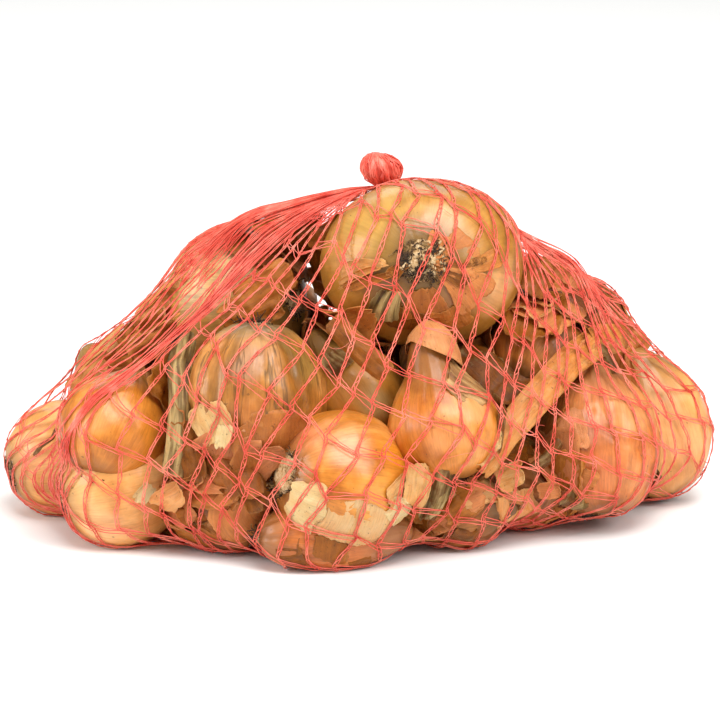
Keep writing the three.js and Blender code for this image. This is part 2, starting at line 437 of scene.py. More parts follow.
def draw_in(rays, held, out, pulls):
    """Pulls the net in on its rays, as far as what holds it out and the table let it."""
    level = NET_OFF_TABLE - NET_MIDDLE[2]
    sinking = np.minimum(rays[..., 2], -1e-6)
    table = np.where(rays[..., 2] < -1e-6, level / sinking, 1e9)
    out = np.minimum(out, table)
    for _ in range(pulls):
        points = rays * out[..., None]
        middle = points[:-2] + points[2:]
        inner = points[1:-1]
        middle = middle + PULL_ROUND * (np.roll(inner, 1, axis=1) + np.roll(inner, -1, axis=1))
        drawn = (middle * rays[1:-1]).sum(axis=-1) / (2 + 2 * PULL_ROUND)
        out[1:-1] = np.minimum(np.maximum(drawn, held[1:-1]), table[1:-1])
    return out


class NetSurface:
    """The surface that the net lies on: places by pillar (0 to 1 round) and row (0 to 1 down)."""

    def __init__(self):
        rays = net_rays()
        coarse = net_rays(COARSE_AROUND, COARSE_ALONG)
        out = np.full(coarse.shape[:2], 100.0)
        out[0] = np.linalg.norm(KNOT_FOOT - NET_MIDDLE)
        out = draw_in(coarse, held_out(coarse), out, COARSE_PULLS)
        rows = np.linspace(0, COARSE_ALONG, ALONG + 1)
        columns = np.linspace(0, COARSE_AROUND, AROUND, endpoint=False)
        low = np.minimum(rows.astype(int), COARSE_ALONG - 1)
        part = (rows - low)[:, None]
        left = columns.astype(int)
        side = (columns - left)[None, :]
        right = (left + 1) % COARSE_AROUND
        across = lambda row: out[row][:, left] * (1 - side) + out[row][:, right] * side
        fine = across(low) * (1 - part) + across(low + 1) * part
        fine = draw_in(rays, held_out(rays), fine, FINE_PULLS)
        self.points = NET_MIDDLE + rays * fine[..., None]
        spans = np.linalg.norm(np.diff(self.points, axis=0), axis=-1).mean(axis=1)
        self.row_length = np.concatenate([[0], np.cumsum(spans)])
        self.length = self.row_length[-1]

    def row_at(self, length):
        """The row, 0 to 1, that is a mean length of net from the knot."""
        return np.interp(length, self.row_length, np.linspace(0, 1, ALONG + 1))

    def at(self, round_, down):
        """Points of the surface, by bilinear lookup."""
        c = (np.asarray(round_) % 1.0) * AROUND
        r = np.clip(np.asarray(down), 0, 1) * ALONG
        c0 = c.astype(int) % AROUND
        r0 = np.minimum(r.astype(int), ALONG - 1)
        fc = (c - np.floor(c))[..., None]
        fr = (r - r0)[..., None]
        c1 = (c0 + 1) % AROUND
        p = self.points
        upper = p[r0, c0] * (1 - fc) + p[r0, c1] * fc
        lower = p[r0 + 1, c0] * (1 - fc) + p[r0 + 1, c1] * fc
        return upper * (1 - fr) + lower * fr

    def outward(self, round_, down):
        """Which way the surface faces, from its slopes a little to each side."""
        step = 0.004
        across = self.at(round_ + step, down) - self.at(round_ - step, down)
        along = self.at(round_, down + step) - self.at(round_, down - step)
        return unit(np.cross(along, across))


NET = None
NET_TREE = None


def net_surface():
    """The net's surface, drawn in once, with a tree of its faces to find what a line meets."""
    global NET, NET_TREE
    if NET is None:
        NET = NetSurface()
        bm, ways = globe(AROUND, ALONG)
        round_ = np.arctan2(ways[:, 1], ways[:, 0]) / (2 * math.pi)
        down = np.arccos(np.clip(ways[:, 2], -1, 1)) / math.pi
        set_points(bm.verts, NET.at(round_, down))
        NET_TREE = BVHTree.FromBMesh(bm)
        bm.free()
    return NET


def sight(place):
    """The camera's line of sight through a place in the picture."""
    x = (place[0] - DOTS / 2) / DOTS * PICTURE_WIDE
    up = (DOTS / 2 - place[1]) / DOTS * PICTURE_WIDE
    return unit(CAMERA_AIM + np.array((x, 0, 0)) + PICTURE_UP * up - CAMERA_AT)


def on_net(place, inward):
    """The point of the net seen at a place in the picture, moved inward along the sight."""
    net_surface()
    for inset in range(8):
        # A place just off the net's outline is moved in to it, toward the net's middle.
        share = inset * 0.02
        way = sight([at * (1 - share) + to * share for at, to in zip(place, (365, 420))])
        hit = NET_TREE.ray_cast(Vector(CAMERA_AT), Vector(way))[0]
        if hit is not None:
            return np.array(hit) + way * inward
    raise ValueError(f"nothing of the net is seen near {place}")


def in_picture(point):
    """The place of a point in the picture."""
    away = point - CAMERA_AT
    dots = DOTS / PICTURE_WIDE * CAMERA_AWAY / (away @ LOOKING)
    return DOTS / 2 + away[0] * dots, DOTS / 2 - (away @ PICTURE_UP) * dots


def on_shallot(shallot, place):
    """Longitude and latitude of the point of a shallot seen at a place in the picture."""
    way = sight(place)
    start = (shallot["middle"] - CAMERA_AT) @ way
    steps = CAMERA_AT + way * np.linspace(start - shallot["far"], start, 260)[:, None]
    hit = np.nonzero(inside_shallot(shallot, steps))[0]
    if not len(hit):
        raise ValueError(f"the shallot isn't seen at {place}")
    way = from_middle(shallot, steps[hit[:1]])[1][0]
    return math.atan2(way[1], way[0]), math.asin(way[2])


def tucked(points, by):
    """Pulls points that would stand out of the net back inside it, and off the table."""
    net_surface()
    kept = points.copy()
    middle = Vector(NET_MIDDLE)
    for index, point in enumerate(points):
        way = Vector(point) - middle
        distance = way.length
        if distance < 10:
            continue  # deep in the heap
        hit = NET_TREE.ray_cast(middle, way / distance)[3]
        if hit is not None and distance > hit - by:
            kept[index] = NET_MIDDLE + np.array(way) * ((hit - by) / distance)
    kept[:, 2] = np.maximum(kept[:, 2], SKIN_OFF_TABLE)
    return kept


# ---- Materials ----

# Skins, as light, middle and dark tone, vein and end colours, roughness, and how strongly
# their veins show.
SKIN_COLUMNS = ("light", "middle", "dark", "vein", "ends", "rough", "veins")
SKIN_ROWS = [
    ("golden", "#eba45a", "#d7852c", "#ab5c12", "#a0560f", "#98602a", 0.34, 0.34),
    ("pale", "#f0b878", "#e4a259", "#ca833a", "#b87232", "#a8763c", 0.36, 0.3),
    ("olive", "#ca9040", "#b2782a", "#8b5c1c", "#8a5f1f", "#7f5a24", 0.36, 0.2),
    ("straw", "#e6b264", "#d39945", "#ac722c", "#936124", "#8f672e", 0.4, 0.34),
    ("striped", "#d89a52", "#b97830", "#8f5a1c", "#4a3512", "#7d6538", 0.42, 0.4),
    ("copper", "#e69655", "#d07634", "#a4561c", "#94501c", "#965f32", 0.38, 0.34),
    ("brown", "#c07c38", "#9c5a1e", "#6f3c0a", "#57310c", "#61421a", 0.44, 0.4),
]
SKINS = {kind: dict(zip(SKIN_COLUMNS, row)) for kind, *row in SKIN_ROWS}


def skin_material(kind):
    """Living shallot skin: a thin waxy cuticle over fleshy scales, so satin highlights,
    veins from root to neck, blotches and a little light passing through."""
    tone = SKINS[kind]
    made, add, shader, place = new_material(f"shallot_skin_{kind}")
    veins = add("Attribute", attribute_name="veins").node.outputs["Vector"]
    # Veins are long from root to neck, 2.5 mm apart round a 36 mm bulb and 11 mm on the
    # striped one, with fibres 0.7 mm apart.
    long = add("VectorMath", {0: veins, 1: (1, 1, 0.13)}, operation="MULTIPLY")
    apart = 1.7 if kind == "striped" else 7.0
    coarse = add("TexNoise", {"Vector": long, "Scale": apart, "Detail": 5.0, "Roughness": 0.62})
    fine = add("TexNoise", {"Vector": long, "Scale": 26.0, "Detail": 3.0, "Roughness": 0.7})
    # Blotches 12 mm across, and specks of 1.4 mm.
    blotch = add("TexNoise", {"Vector": place, "Scale": 85.0, "Detail": 4.0, "Roughness": 0.6})
    speck = add("TexNoise", {"Vector": place, "Scale": 700.0, "Detail": 1.0})
    stops = [(0.3, tone["dark"]), (0.5, tone["middle"]), (0.72, tone["light"])]
    colour = add("ValToRGB", {"Fac": blotch}, stops)
    # The spots' patches: tone, and painted highlights and painted shade.
    tint_and_light = add("Attribute", attribute_name="tint_and_light").node.outputs["Color"]
    tint_and_light_share = add("Attribute", attribute_name="tint_and_light_share").node.outputs["Fac"]
    colour = add("Mix", {0: tint_and_light_share, 6: colour, 7: tint_and_light}, data_type="RGBA")
    # On the striped one the skin has dried in cracks, which are thin dark lines.
    cracked = [(0.36, 0.4), (0.455, 0.08), (0.475, 0.75), (0.49, 0.0)]
    stops = cracked if kind == "striped" else [(0.4, tone["veins"]), (0.5, 0.0)]
    vein = add("ValToRGB", {"Fac": coarse}, stops)
    colour = add("Mix", {0: vein, 6: colour, 7: tone["vein"]}, data_type="RGBA")
    fibre = add("ValToRGB", {"Fac": fine}, [(0.35, 0.8), (0.6, 1.06)])
    mixed = {0: 2 * tone["veins"], 6: colour, 7: fibre}
    colour = add("Mix", mixed, data_type="RGBA", blend_type="MULTIPLY")
    # Dry, darker ends at the root and the neck.
    height = add("SeparateXYZ", {"Vector": veins}).node.outputs["Z"]
    height = add("MapRange", {"Value": height, "From Min": -1.0, "From Max": 1.0})
    ends = add("ValToRGB", {"Fac": height}, [(0.02, 1.0), (0.12, 0.0), (0.84, 0.0), (0.97, 0.9)])
    colour = add("Mix", {0: ends, 6: colour, 7: tone["ends"]}, data_type="RGBA")
    dots = add("ValToRGB", {"Fac": speck}, [(0.74, 0.0), (0.78, 0.55)])
    colour = add("Mix", {0: dots, 6: colour, 7: "#5a3a18"}, data_type="RGBA")
    smooth, dull = tone["rough"] - 0.08, tone["rough"] + 0.16
    rough = add("MapRange", {"Value": coarse, "To Min": smooth, "To Max": dull})
    # Relief of the veins, and creases 4 mm apart in the papery outer skin.
    crease = add("TexNoise", {"Vector": place, "Scale": 230.0, "Detail": 3.0, "Distortion": 1.2})
    relief = add("Mix", {0: 0.5, 6: coarse, 7: fine}, data_type="RGBA")
    relief = add("Mix", {0: 0.5, 6: relief, 7: crease}, data_type="RGBA")
    bump = add("Bump", {"Height": relief, "Strength": 0.45, "Distance": 0.0006})
    plug(shader, {
        "Base Color": colour, "Roughness": rough, "IOR": 1.42, "Subsurface Weight": 0.14,
        "Subsurface Radius": (0.004, 0.0016, 0.0006), "Subsurface Scale": 0.6,
        "Coat Weight": 0.22, "Coat Roughness": 0.2, "Normal": bump,
    })
    return made


def dry_skin_material():
    """Dry outer skin of a shallot, torn and papery: fine ribs, satin, from cream to rust,
    dark brown and grey, pink where it is thin, with a slight painted highlight along its torn
    edges."""
    made, add, shader, place = new_material("shallot_dry_skin")
    veins = add("Attribute", attribute_name="veins").node.outputs["Vector"]
    tone = add("Attribute", attribute_name="tone").node.outputs["Fac"]
    # Ribs 0.5 mm apart along the skin, as the attribute is in millimetres.
    long = add("VectorMath", {0: veins, 1: (1.9, 0.11, 1.9)}, operation="MULTIPLY")
    ribs = add("TexNoise", {"Vector": long, "Scale": 1.0, "Detail": 6.0, "Roughness": 0.75})
    wide = add("VectorMath", {0: veins, 1: (0.34, 0.03, 0.34)}, operation="MULTIPLY")
    bands = add("TexNoise", {"Vector": wide, "Scale": 1.0, "Detail": 3.0, "Roughness": 0.6})
    blotch = add("TexNoise", {"Vector": place, "Scale": 260.0, "Detail": 5.0, "Roughness": 0.7})
    patch = add("Mix", {0: 0.5, 6: bands, 7: blotch}, data_type="RGBA")
    spans = {"From Min": 0.25, "From Max": 0.75, "To Min": -0.2, "To Max": 0.2}
    shifted = add("MapRange", {"Value": patch, **spans})
    tone = add("Math", {0: tone, 1: shifted}, operation="ADD")
    tones = ("#d9c08c", "#d2a468", "#c87e36", "#a05c18", "#67380c", "#8a6a3c")
    colour = add("ValToRGB", {"Fac": tone}, list(zip((0.0, 0.2, 0.4, 0.6, 0.8, 1.0), tones)))
    # Old necks are grey, streaked with mould and bleached fibre.
    old = add("MapRange", {"Value": tone, "From Min": 0.78, "From Max": 0.95})
    stops = [(0.38, "#30210e"), (0.47, "#7f673a"), (0.58, "#c2a56c")]
    streak = add("ValToRGB", {"Fac": bands}, stops)
    colour = add("Mix", {0: old, 6: colour, 7: streak}, data_type="RGBA")
    # Thin skins are pink, as the flesh shows through; on one skin of the right shallot the pink is
    # a painted highlight.
    blush = add("Attribute", attribute_name="blush").node.outputs["Fac"]
    colour = add("Mix", {0: blush, 6: colour, 7: "#dd8a58"}, data_type="RGBA")
    shade = add("ValToRGB", {"Fac": ribs}, [(0.3, 0.5), (0.48, 0.95), (0.7, 1.15)])
    colour = add("Mix", {0: 0.6, 6: colour, 7: shade}, data_type="RGBA", blend_type="MULTIPLY")
    # Mould and soil specks 1 mm across.
    speck = add("TexNoise", {"Vector": place, "Scale": 1100.0, "Detail": 2.0})
    dots = add("ValToRGB", {"Fac": speck}, [(0.66, 0.0), (0.74, 0.6)])
    colour = add("Mix", {0: dots, 6: colour, 7: "#4a2a0e"}, data_type="RGBA")
    # Torn edges lightened: a painted rim highlight.
    edge = add("Attribute", attribute_name="edge").node.outputs["Fac"]
    painted_rim_highlight = add("ValToRGB", {"Fac": edge}, [(0.92, 0.0), (1.0, 0.14)])
    colour = add("Mix", {0: painted_rim_highlight, 6: colour, 7: "#cf9a5c"}, data_type="RGBA")
    bump = add("Bump", {"Height": ribs, "Strength": 0.65, "Distance": 0.0004})
    plug(shader, {
        "Base Color": colour, "Roughness": 0.38, "IOR": 1.4, "Specular IOR Level": 0.35,
        "Subsurface Weight": 0.2, "Subsurface Radius": (0.003, 0.0013, 0.0005), "Normal": bump,
    })
    return made


def root_plate_material():
    """Dried root plate: corky, beige, pitted where roots broke off."""
    made, add, shader, place = new_material("shallot_root_plate")
    # Pits 1 mm apart.
    pits = add("TexNoise", {"Vector": place, "Scale": 900.0, "Detail": 4.0, "Roughness": 0.75})
    patch = add("TexNoise", {"Vector": place, "Scale": 260.0, "Detail": 2.0})
    stops = [(0.34, "#5a3918"), (0.42, "#bd9058"), (0.6, "#e2c294")]
    colour = add("ValToRGB", {"Fac": pits}, stops)
    shade = add("ValToRGB", {"Fac": patch}, [(0.35, 0.7), (0.6, 1.05)])
    colour = add("Mix", {0: 0.9, 6: colour, 7: shade}, data_type="RGBA", blend_type="MULTIPLY")
    bump = add("Bump", {"Height": pits, "Strength": 0.9, "Distance": 0.0007})
    plug(shader, {"Base Color": colour, "Roughness": 0.85, "Normal": bump})
    return made


def root_material():
    """Dried roots: thin woody hairs, from cream at the plate to near black."""
    made, add, shader, place = new_material("shallot_dried_root")
    # Lengths of 2 mm or so of one colour.
    patch = add("TexNoise", {"Vector": place, "Scale": 420.0, "Detail": 3.0, "Roughness": 0.7})
    stops = [(0.4, "#241507"), (0.54, "#4e3216"), (0.64, "#8c6a3a"), (0.76, "#cfae7a")]
    colour = add("ValToRGB", {"Fac": patch}, stops)
    bump = add("Bump", {"Height": patch, "Strength": 0.7, "Distance": 0.0005})
    plug(shader, {"Base Color": colour, "Roughness": 0.85, "Normal": bump})
    return made


def thread_material(settings):
    """Polyethylene yarn, drawn and knitted: bright red, slightly see-through, soft sheen."""
    made, add, shader, place = new_material("polyethylene_net_thread")
    patch = add("TexNoise", {"Vector": place, "Scale": 160.0, "Detail": 3.0})
    stops = [(0.3, "#d64432"), (0.5, settings.red), (0.7, "#f68a74")]
    colour = add("ValToRGB", {"Fac": patch}, stops)
    # Filaments along the yarn, drawn at 0.3 mm, which is as fine as shows.
    line = add("TexNoise", {"Vector": place, "Scale": 3200.0, "Detail": 1.0})
    bump = add("Bump", {"Height": line, "Strength": 0.3, "Distance": 0.0001})
    plug(shader, {
        "Base Color": colour, "Roughness": 0.45, "IOR": 1.5, "Subsurface Weight": 0.15,
        "Subsurface Radius": (0.001, 0.0004, 0.0003), "Normal": bump,
    })
    return made


def floor_material(settings):
    """Matt painted board: plain and pale, with the faint tooth of a roller."""
    made, add, shader, place = new_material("matt_painted_board")
    # The roller leaves a tooth 3 mm across.
    tooth = add("TexNoise", {"Vector": place, "Scale": 330.0, "Detail": 2.0})
    bump = add("Bump", {"Height": tooth, "Strength": 0.04, "Distance": 0.0002})
    plug(shader, {"Base Color": settings.floor, "Roughness": 0.9, "Normal": bump})
    return made


MATERIALS = {}


def material(name, make, *inputs):
    if name not in MATERIALS:
        MATERIALS[name] = make(*inputs)
    return MATERIALS[name]


# ---- Making the pieces ----


def veins_attribute(bm, ways):
    """Stores where each point is round and along its shallot, for veins that follow it."""
    layer = bm.verts.layers.float_vector.new("veins")
    girth = np.maximum(np.hypot(ways[:, 0], ways[:, 1]), 0.03)
    for vert, way, g in zip(bm.verts, ways, girth):
        vert[layer] = (way[0] / g, way[1] / g, way[2])


# Patches of another colour, some painted highlights and shade: (shallot, place in the picture,
# radius, colour, strength).
SPOTS_OF_TONE_AND_LIGHT = [
    ("top", (372, 220), 15, "#c99c4c", 0.7),
    # Painted highlight on the top one.
    ("top", (440, 226), 9, "#f4bd88", 0.8),
    # Painted highlight on the top left one.
    ("top_left", (212, 270), 14, "#ecc88a", 0.8),
    ("low_left", (222, 502), 10, "#a5622c", 0.7),
    ("top", (498, 292), 9, "#e6ab6d", 0.75),
    # Painted shade on the top one's lower half, here and in the next spot.
    ("top", (440, 330), 15, "#885217", 0.6),
    ("top", (400, 310), 12, "#8d6026", 0.6),
    ("top", (345, 262), 8, "#cc8d3f", 0.6),
    ("top", (418, 268), 9, "#7b4d1f", 0.75),
    ("top", (455, 285), 8, "#ae6030", 0.7),
    ("front", (300, 440), 8, "#f09464", 0.8),
    # Painted highlight on the front one.
    ("front", (345, 440), 9, "#f5ad79", 0.55),
    ("front", (395, 460), 8, "#e08d24", 0.7),
    ("front", (375, 500), 9, "#dd983c", 0.6),
    # Painted highlight on the left one.
    ("left_up", (90, 420), 7, "#eca568", 0.5),
    ("left_up", (140, 450), 9, "#d6832b", 0.6),
    ("left_low", (80, 480), 8, "#e5b46c", 0.5),
    ("left_low", (100, 530), 9, "#f8c086", 0.7),
    ("left_low", (160, 510), 6, "#c67e38", 0.6),
    ("far_left", (28, 450), 9, "#f8be84", 0.6),
    ("striped", (210, 350), 9, "#d68d43", 0.6),
    ("striped", (246, 360), 7, "#b98864", 0.85),
    ("striped", (290, 345), 5, "#a6782f", 0.8),
    ("striped", (308, 370), 6, "#9a8140", 0.55),
    ("striped", (264, 338), 5, "#c79a68", 0.6),
    ("striped", (245, 420), 9, "#b66623", 0.6),
    ("middle", (375, 405), 6, "#b69a63", 0.7),
    ("middle", (350, 385), 7, "#bd7e38", 0.6),
    ("necked", (415, 430), 8, "#c66c15", 0.7),
    ("necked", (445, 425), 7, "#e09257", 0.7),
    ("necked", (478, 408), 6, "#e99a5c", 0.8),
    ("necked", (468, 378), 8, "#986f55", 0.8),
    ("right", (600, 382), 9, "#ef9257", 0.7),
    # Painted highlight, pink, on the right one.
    ("right", (578, 434), 6, "#eda47f", 0.8),
    ("right", (635, 410), 9, "#dc9a5e", 0.7),
    ("right", (600, 470), 9, "#dd7e43", 0.7),
    ("far_right", (690, 440), 9, "#eaa468", 0.7),
    ("far_right", (665, 400), 8, "#d39a61", 0.6),
    ("right_middle", (528, 345), 8, "#c6782d", 0.7),
]


def tone_and_light_at(name, shallot, points):
    """The colour that the spots give each point, and how strongly: tone, and painted highlights and
    painted shade.
    """
    colours, amounts = np.zeros((len(points), 3)), np.zeros(len(points))
    for index, (owner, place, radius, colour, strength) in enumerate(SPOTS_OF_TONE_AND_LIGHT):
        if owner != name:
            continue
        longitude, latitude = on_shallot(shallot, place)
        way = direction(longitude, latitude)
        middle = laid(shallot, way * reach(shallot, way[None])[0])
        away = np.linalg.norm(points - middle, axis=1) / radius + 0.45 * wobble(points, 0.16, index)
        here = strength * smoothstep(1.15, 0.45, away)
        under = amounts * (1 - here)
        mix = np.array(linear(colour)[:3]) * here[:, None] + colours * under[:, None]
        amounts = here + under
        colours = mix / np.maximum(amounts, 1e-6)[:, None]
    return colours, amounts


def make_shallot(name, shallot, settings, seed):
    bm, ways = globe(settings.sides, settings.rings)
    kind = shallot["skin"]
    striped = kind == "striped"
    out = reach(shallot, ways)
    lumps = settings.lumps / MM
    girth = np.hypot(ways[:, 0], ways[:, 1])[:, None]
    meridian = np.hstack([ways[:, :2] / np.maximum(girth, 0.05), ways[:, 2:] * 0.3])
    out += lumps * wobble(ways, 2.2, seed) + 0.32 * lumps * wobble(meridian, 5.0, seed + 3)
    # Furrows from root to neck, as a drying skin has: few and deep on the striped one.
    fine, sharp = (1.7, 5.5) if striped else (3.1, 3.2)
    furrow = 1 - np.abs(wobble(meridian, fine, seed + 6)) * sharp
    deep = {"striped": 1.4, "copper": 0.7, "brown": 0.7}.get(kind, 0.16)
    out -= deep * np.clip(furrow, 0, 1) ** 2 * np.clip(girth[:, 0] * 1.6, 0, 1)
    # The skin puckers where it runs into the neck.
    by_neck = smoothstep(0.45, 0.95, ways[:, 2]) * np.clip(girth[:, 0] * 3, 0, 1)
    out += 0.34 * wobble(meridian, 7.0, seed + 12) * by_neck
    crinkle = wobble(ways, 9.0, seed + 8) + 0.6 * wobble(ways, 17.0, seed + 9)
    out += {"copper": 0.32, "striped": 0.26, "brown": 0.28}.get(kind, 0.07) * crinkle
    veins_attribute(bm, ways)
    points = laid(shallot, ways * out[:, None])
    points[:, 2] = np.maximum(points[:, 2], SKIN_OFF_TABLE)
    set_points(bm.verts, points)
    # Colour of the spots, which paint tone, highlights and shade onto the skin.
    tint_and_light, amount = bm.verts.layers.float_vector.new("tint_and_light"), bm.verts.layers.float.new("tint_and_light_share")
    for vert, colour, part in zip(bm.verts, *tone_and_light_at(name, shallot, points)):
        vert[tint_and_light], vert[amount] = colour, part
    finished(bm, f"shallot_{name}", material(kind, skin_material, kind))


class SHALLOTS_OT_bulbs(bpy.types.Operator):
    """Make every shallot of the net"""

    bl_idname = "shallots.bulbs"
    bl_label = "Shallots"

    def execute(self, context):
        for seed, (name, shallot) in enumerate(SHALLOTS.items()):
            make_shallot(name, shallot, context.scene.shallot_sizes, seed + 1.0)
        return {"FINISHED"}


# ---- Dry skins, necks and roots ----


def ragged(x, seed, jag):
    """A torn edge around 1: long curves with a few sharp tongues."""
    at = [Vector((v * 1.1 + seed * 3.1, seed * 1.7, 0.3)) for v in x]
    slow = np.array([noise.noise(p * 0.9) for p in at])
    sharp = np.array([abs(noise.noise(p * 2.2)) for p in at])
    fine = np.array([noise.noise(p * 9.0) for p in at])
    return 1 + jag * (0.8 * slow + 1.1 * (0.3 - sharp) + 0.16 * fine)


class Skins:
    """Gathers torn sheets of dry skin in one mesh."""

    def __init__(self):
        self.bm = bmesh.new()
        layers = self.bm.verts.layers
        self.veins = layers.float_vector.new("veins")
        self.tone, self.blush, self.edge = [layers.float.new(n) for n in ("tone", "blush", "edge")]

    def add(self, wide, tall, shape, tone, seed, cells, jag, taper=3.5, blush=0.0, inside=0.45):
        """A sheet wide by tall, its veins along its height, laid out by the shape given and
        kept inside the net."""
        verts = bmesh.ops.create_grid(
            self.bm, x_segments=cells[0], y_segments=cells[1], size=1.0
        )["verts"]
        square = points_of(verts)
        x, y = square[:, 0], square[:, 1]
        edge = np.maximum(np.abs(x), np.abs(y))
        arch = (1 - np.abs(x) ** taper * 0.85) ** (1 / taper)
        top, foot = arch * ragged(x, seed, jag), arch * ragged(x, seed + 40, jag)
        long = np.where(y > 0, y * top, y * foot)
        broad = x * ragged(y, seed + 80, jag * 0.35)
        x_mm, y_mm = broad * wide / 2, long * tall / 2
        points = tucked(shape(x_mm, y_mm, edge), inside)
        for index, vert in enumerate(verts):
            vert.co = points[index]
            vert[self.veins] = (x_mm[index] + 17.3 * seed, y_mm[index], 0)
            vert[self.tone] = tone
            vert[self.blush] = blush
            vert[self.edge] = edge[index]

    def finish(self, name):
        piece = finished(self.bm, name, material("dry_skin", dry_skin_material))
        body = piece.modifiers.new("thickness", "SOLIDIFY")
        body.thickness = SKIN_THICK * MM
        body.offset = 0.0
        return piece


def wrinkled(x, y, seed, size):
    """Long creases along the veins, sharp folds across, and a fine crumple."""
    heights = []
    for a, b in zip(x, y):
        along = noise.noise(Vector((a * 0.42 + seed, b * 0.08, seed)))
        fold = abs(noise.noise(Vector((a * 0.16 + seed, b * 0.2, seed + 9))))
        small = noise.noise(Vector((a * 1.2, b * 0.5, seed * 2.0)))
        heights.append(along + 0.3 * small + 1.6 * (0.3 - fold))
    return size * np.array(heights)


def loose(origin, outward, vein, seed, bend, crease, curl=1.6):
    """A loose skin: bent round its veins, its edges curled."""
    outward = unit(outward)
    vein = unit(np.asarray(vein) - outward * (np.asarray(vein) @ outward))
    side = np.cross(vein, outward)

    def shape(x, y, edge):
        rise = bend * (np.cos(x / bend) - 1) + SKIN_BEND * (np.cos(y / SKIN_BEND) - 1)
        rise = rise + curl * edge**5 + wrinkled(x, y, seed, crease)
        across = bend * np.sin(x / bend)
        return origin + across[:, None] * side + y[:, None] * vein + rise[:, None] * outward

    return shape


def peeling(shallot, longitude, latitude, turn, seed, lift, curl, crease=0.35):
    """A skin that still clings to its shallot, its torn edges lifting."""
    girth, height = shallot["across"] / 2, shallot["tall"] / 2
    turn = math.radians(turn)

    def shape(x, y, edge):
        a = x * math.cos(turn) - y * math.sin(turn)
        b = x * math.sin(turn) + y * math.cos(turn)
        lat = latitude + b / height
        lon = longitude + a / (girth * max(math.cos(latitude), 0.35))
        ways = direction(lon, lat)
        out = reach(shallot, ways) + lift + curl * edge**6 + np.abs(wrinkled(x, y, seed, crease))
        return laid(shallot, ways * out[:, None])

    return shape


def strap(places, wide, seed, inward, roll, crease):
    """A long dried leaf or neck that follows places in the picture, rolled about its length."""
    path = np.array([on_net(place, inward) for place in places])
    run = run_of(path)
    total = run[-1]
    radius = wide / roll

    def on_path(along):
        return np.stack([np.interp(along, run, path[:, axis]) for axis in range(3)], axis=-1)

    def shape(x, y, edge):
        along = np.clip(y / total + 0.5, 0, 1) * total
        ahead = unit(on_path(along + 2.0) - on_path(along - 2.0))
        front = unit(-LOOKING - ahead * (ahead @ -LOOKING)[:, None])
        side = np.cross(ahead, front)
        angle = x / radius
        across = radius * np.sin(angle)
        rise = radius * (np.cos(angle) - 1) + wrinkled(x * 1.6, y, seed, crease)
        return on_path(along) + across[:, None] * side + rise[:, None] * front

    return shape, total


def hood(shallot):
    """The dried outermost skin that stands over a shallot's neck like a hood, open in front."""
    axis = shallot["spin"] @ np.array((0, 0, 1.0))
    high = shallot["tall"] / 2 + shallot["neck"] + 1.6
    apex = shallot["middle"] + axis * high + np.array((1.2, 0, 0))
    right = np.array((1.0, 0.25, 0))
    right = unit(right - axis * (axis @ right))
    back = np.cross(axis, right)

    def shape(x, y, edge):
        round_ = x / 5.6
        # Short at the left front, where the hollow under it shows, and long at the right.
        long = 5.0 + 10.5 * (0.5 + 0.5 * np.cos(round_ - 0.35)) ** 0.8
        down = np.clip(0.5 - y / 17.0, 0, 1.1) * long
        creases = 0.3 * wrinkled(x, y, 61, 1.0) * np.clip(down / 5, 0, 1)
        girth = 7.5 * (1 - np.exp(-down / 2.9)) + creases
        ways = np.cos(round_)[:, None] * right + np.sin(round_)[:, None] * back
        return apex - axis * down[:, None] + girth[:, None] * ways

    return shape


# What shows of the dry skins, by place in the picture. Peelings cling to the shallot named.
# Each is (shallot, place, width, height, turn, tone, lift, curl, blush).
PEELINGS = [
    ("top", (450, 258), 11, 15, 5, 0.54, 0.1, 0.2, 0.3),
    ("top", (462, 284), 10, 15, -8, 0.46, 0.2, 0.2, 0.35),
    ("top", (444, 272), 3, 13, 0, 0.72, 0.3, 0.3, 0.0),
    ("top", (466, 262), 2, 11, 10, 0.68, 0.3, 0.3, 0.0),
    ("top", (486, 260), 5, 8, 20, 0.5, 0.3, 0.5, 0.1),
    ("top", (440, 240), 8, 5, 0, 0.5, 0.2, 0.5, 0.3),
    ("top", (387, 305), 8, 9, 20, 0.97, 0.5, 0.3, 0.0),
    ("top", (366, 266), 4, 12, 10, 0.3, 0.5, 0.5, 0.0),
    ("top", (372, 280), 2.5, 13, -5, 0.6, 0.8, 0.6, 0.0),
    ("top", (362, 274), 2, 12, 12, 0.34, 1.0, 0.6, 0.0),
    ("top", (425, 306), 12, 9, 5, 0.62, 0.1, 0.2, 0.15),
    ("top", (408, 320), 12, 7, 0, 0.72, 0.15, 0.15, 0.0),
    ("top", (450, 320), 12, 8, 0, 0.56, 0.12, 0.15, 0.1),
    ("top", (400, 268), 4, 6, 30, 0.66, 0.5, 0.8, 0.0),
    ("front", (322, 520), 13, 13, 82, 0.14, 0.15, 0.12, 0.15),
    ("front", (346, 524), 13, 14, 92, 0.1, 0.3, 0.15, 0.25),
    ("front", (371, 527), 11, 13, 96, 0.14, 0.45, 0.2, 0.2),
    ("front", (307, 505), 13, 10, 10, 0.1, 1.2, 0.3, 0.0),
    ("front", (398, 490), 7, 10, 40, 0.26, 0.3, 0.8, 0.0),
    ("necked", (468, 386), 12, 11, 30, 0.93, 0.2, 0.2, 0.2),
    ("right", (575, 478), 9, 12, 60, 0.45, 0.4, 0.8, 0.3),
    # The pink on this skin of the right one is a painted highlight.
    ("right", (572, 430), 8, 12, 10, 0.2, 0.2, 0.2, 0.8),
    ("striped", (212, 420), 10, 11, 20, 0.2, 0.7, 1.2, 0.0),
    ("striped", (224, 432), 4, 7, -10, 0.06, 1.2, 1.2, 0.0),
    ("left_low", (143, 493), 4, 6, 30, 0.05, 0.6, 0.8, 0.0),
    ("low_left", (240, 520), 14, 13, 50, 0.44, 0.3, 0.5, 0.35),
    ("under_front", (330, 552), 16, 7, 80, 0.62, 0.4, 0.6, 0.0),
    ("middle", (338, 362), 7, 8, 10, 0.85, 0.3, 0.5, 0.0),
]

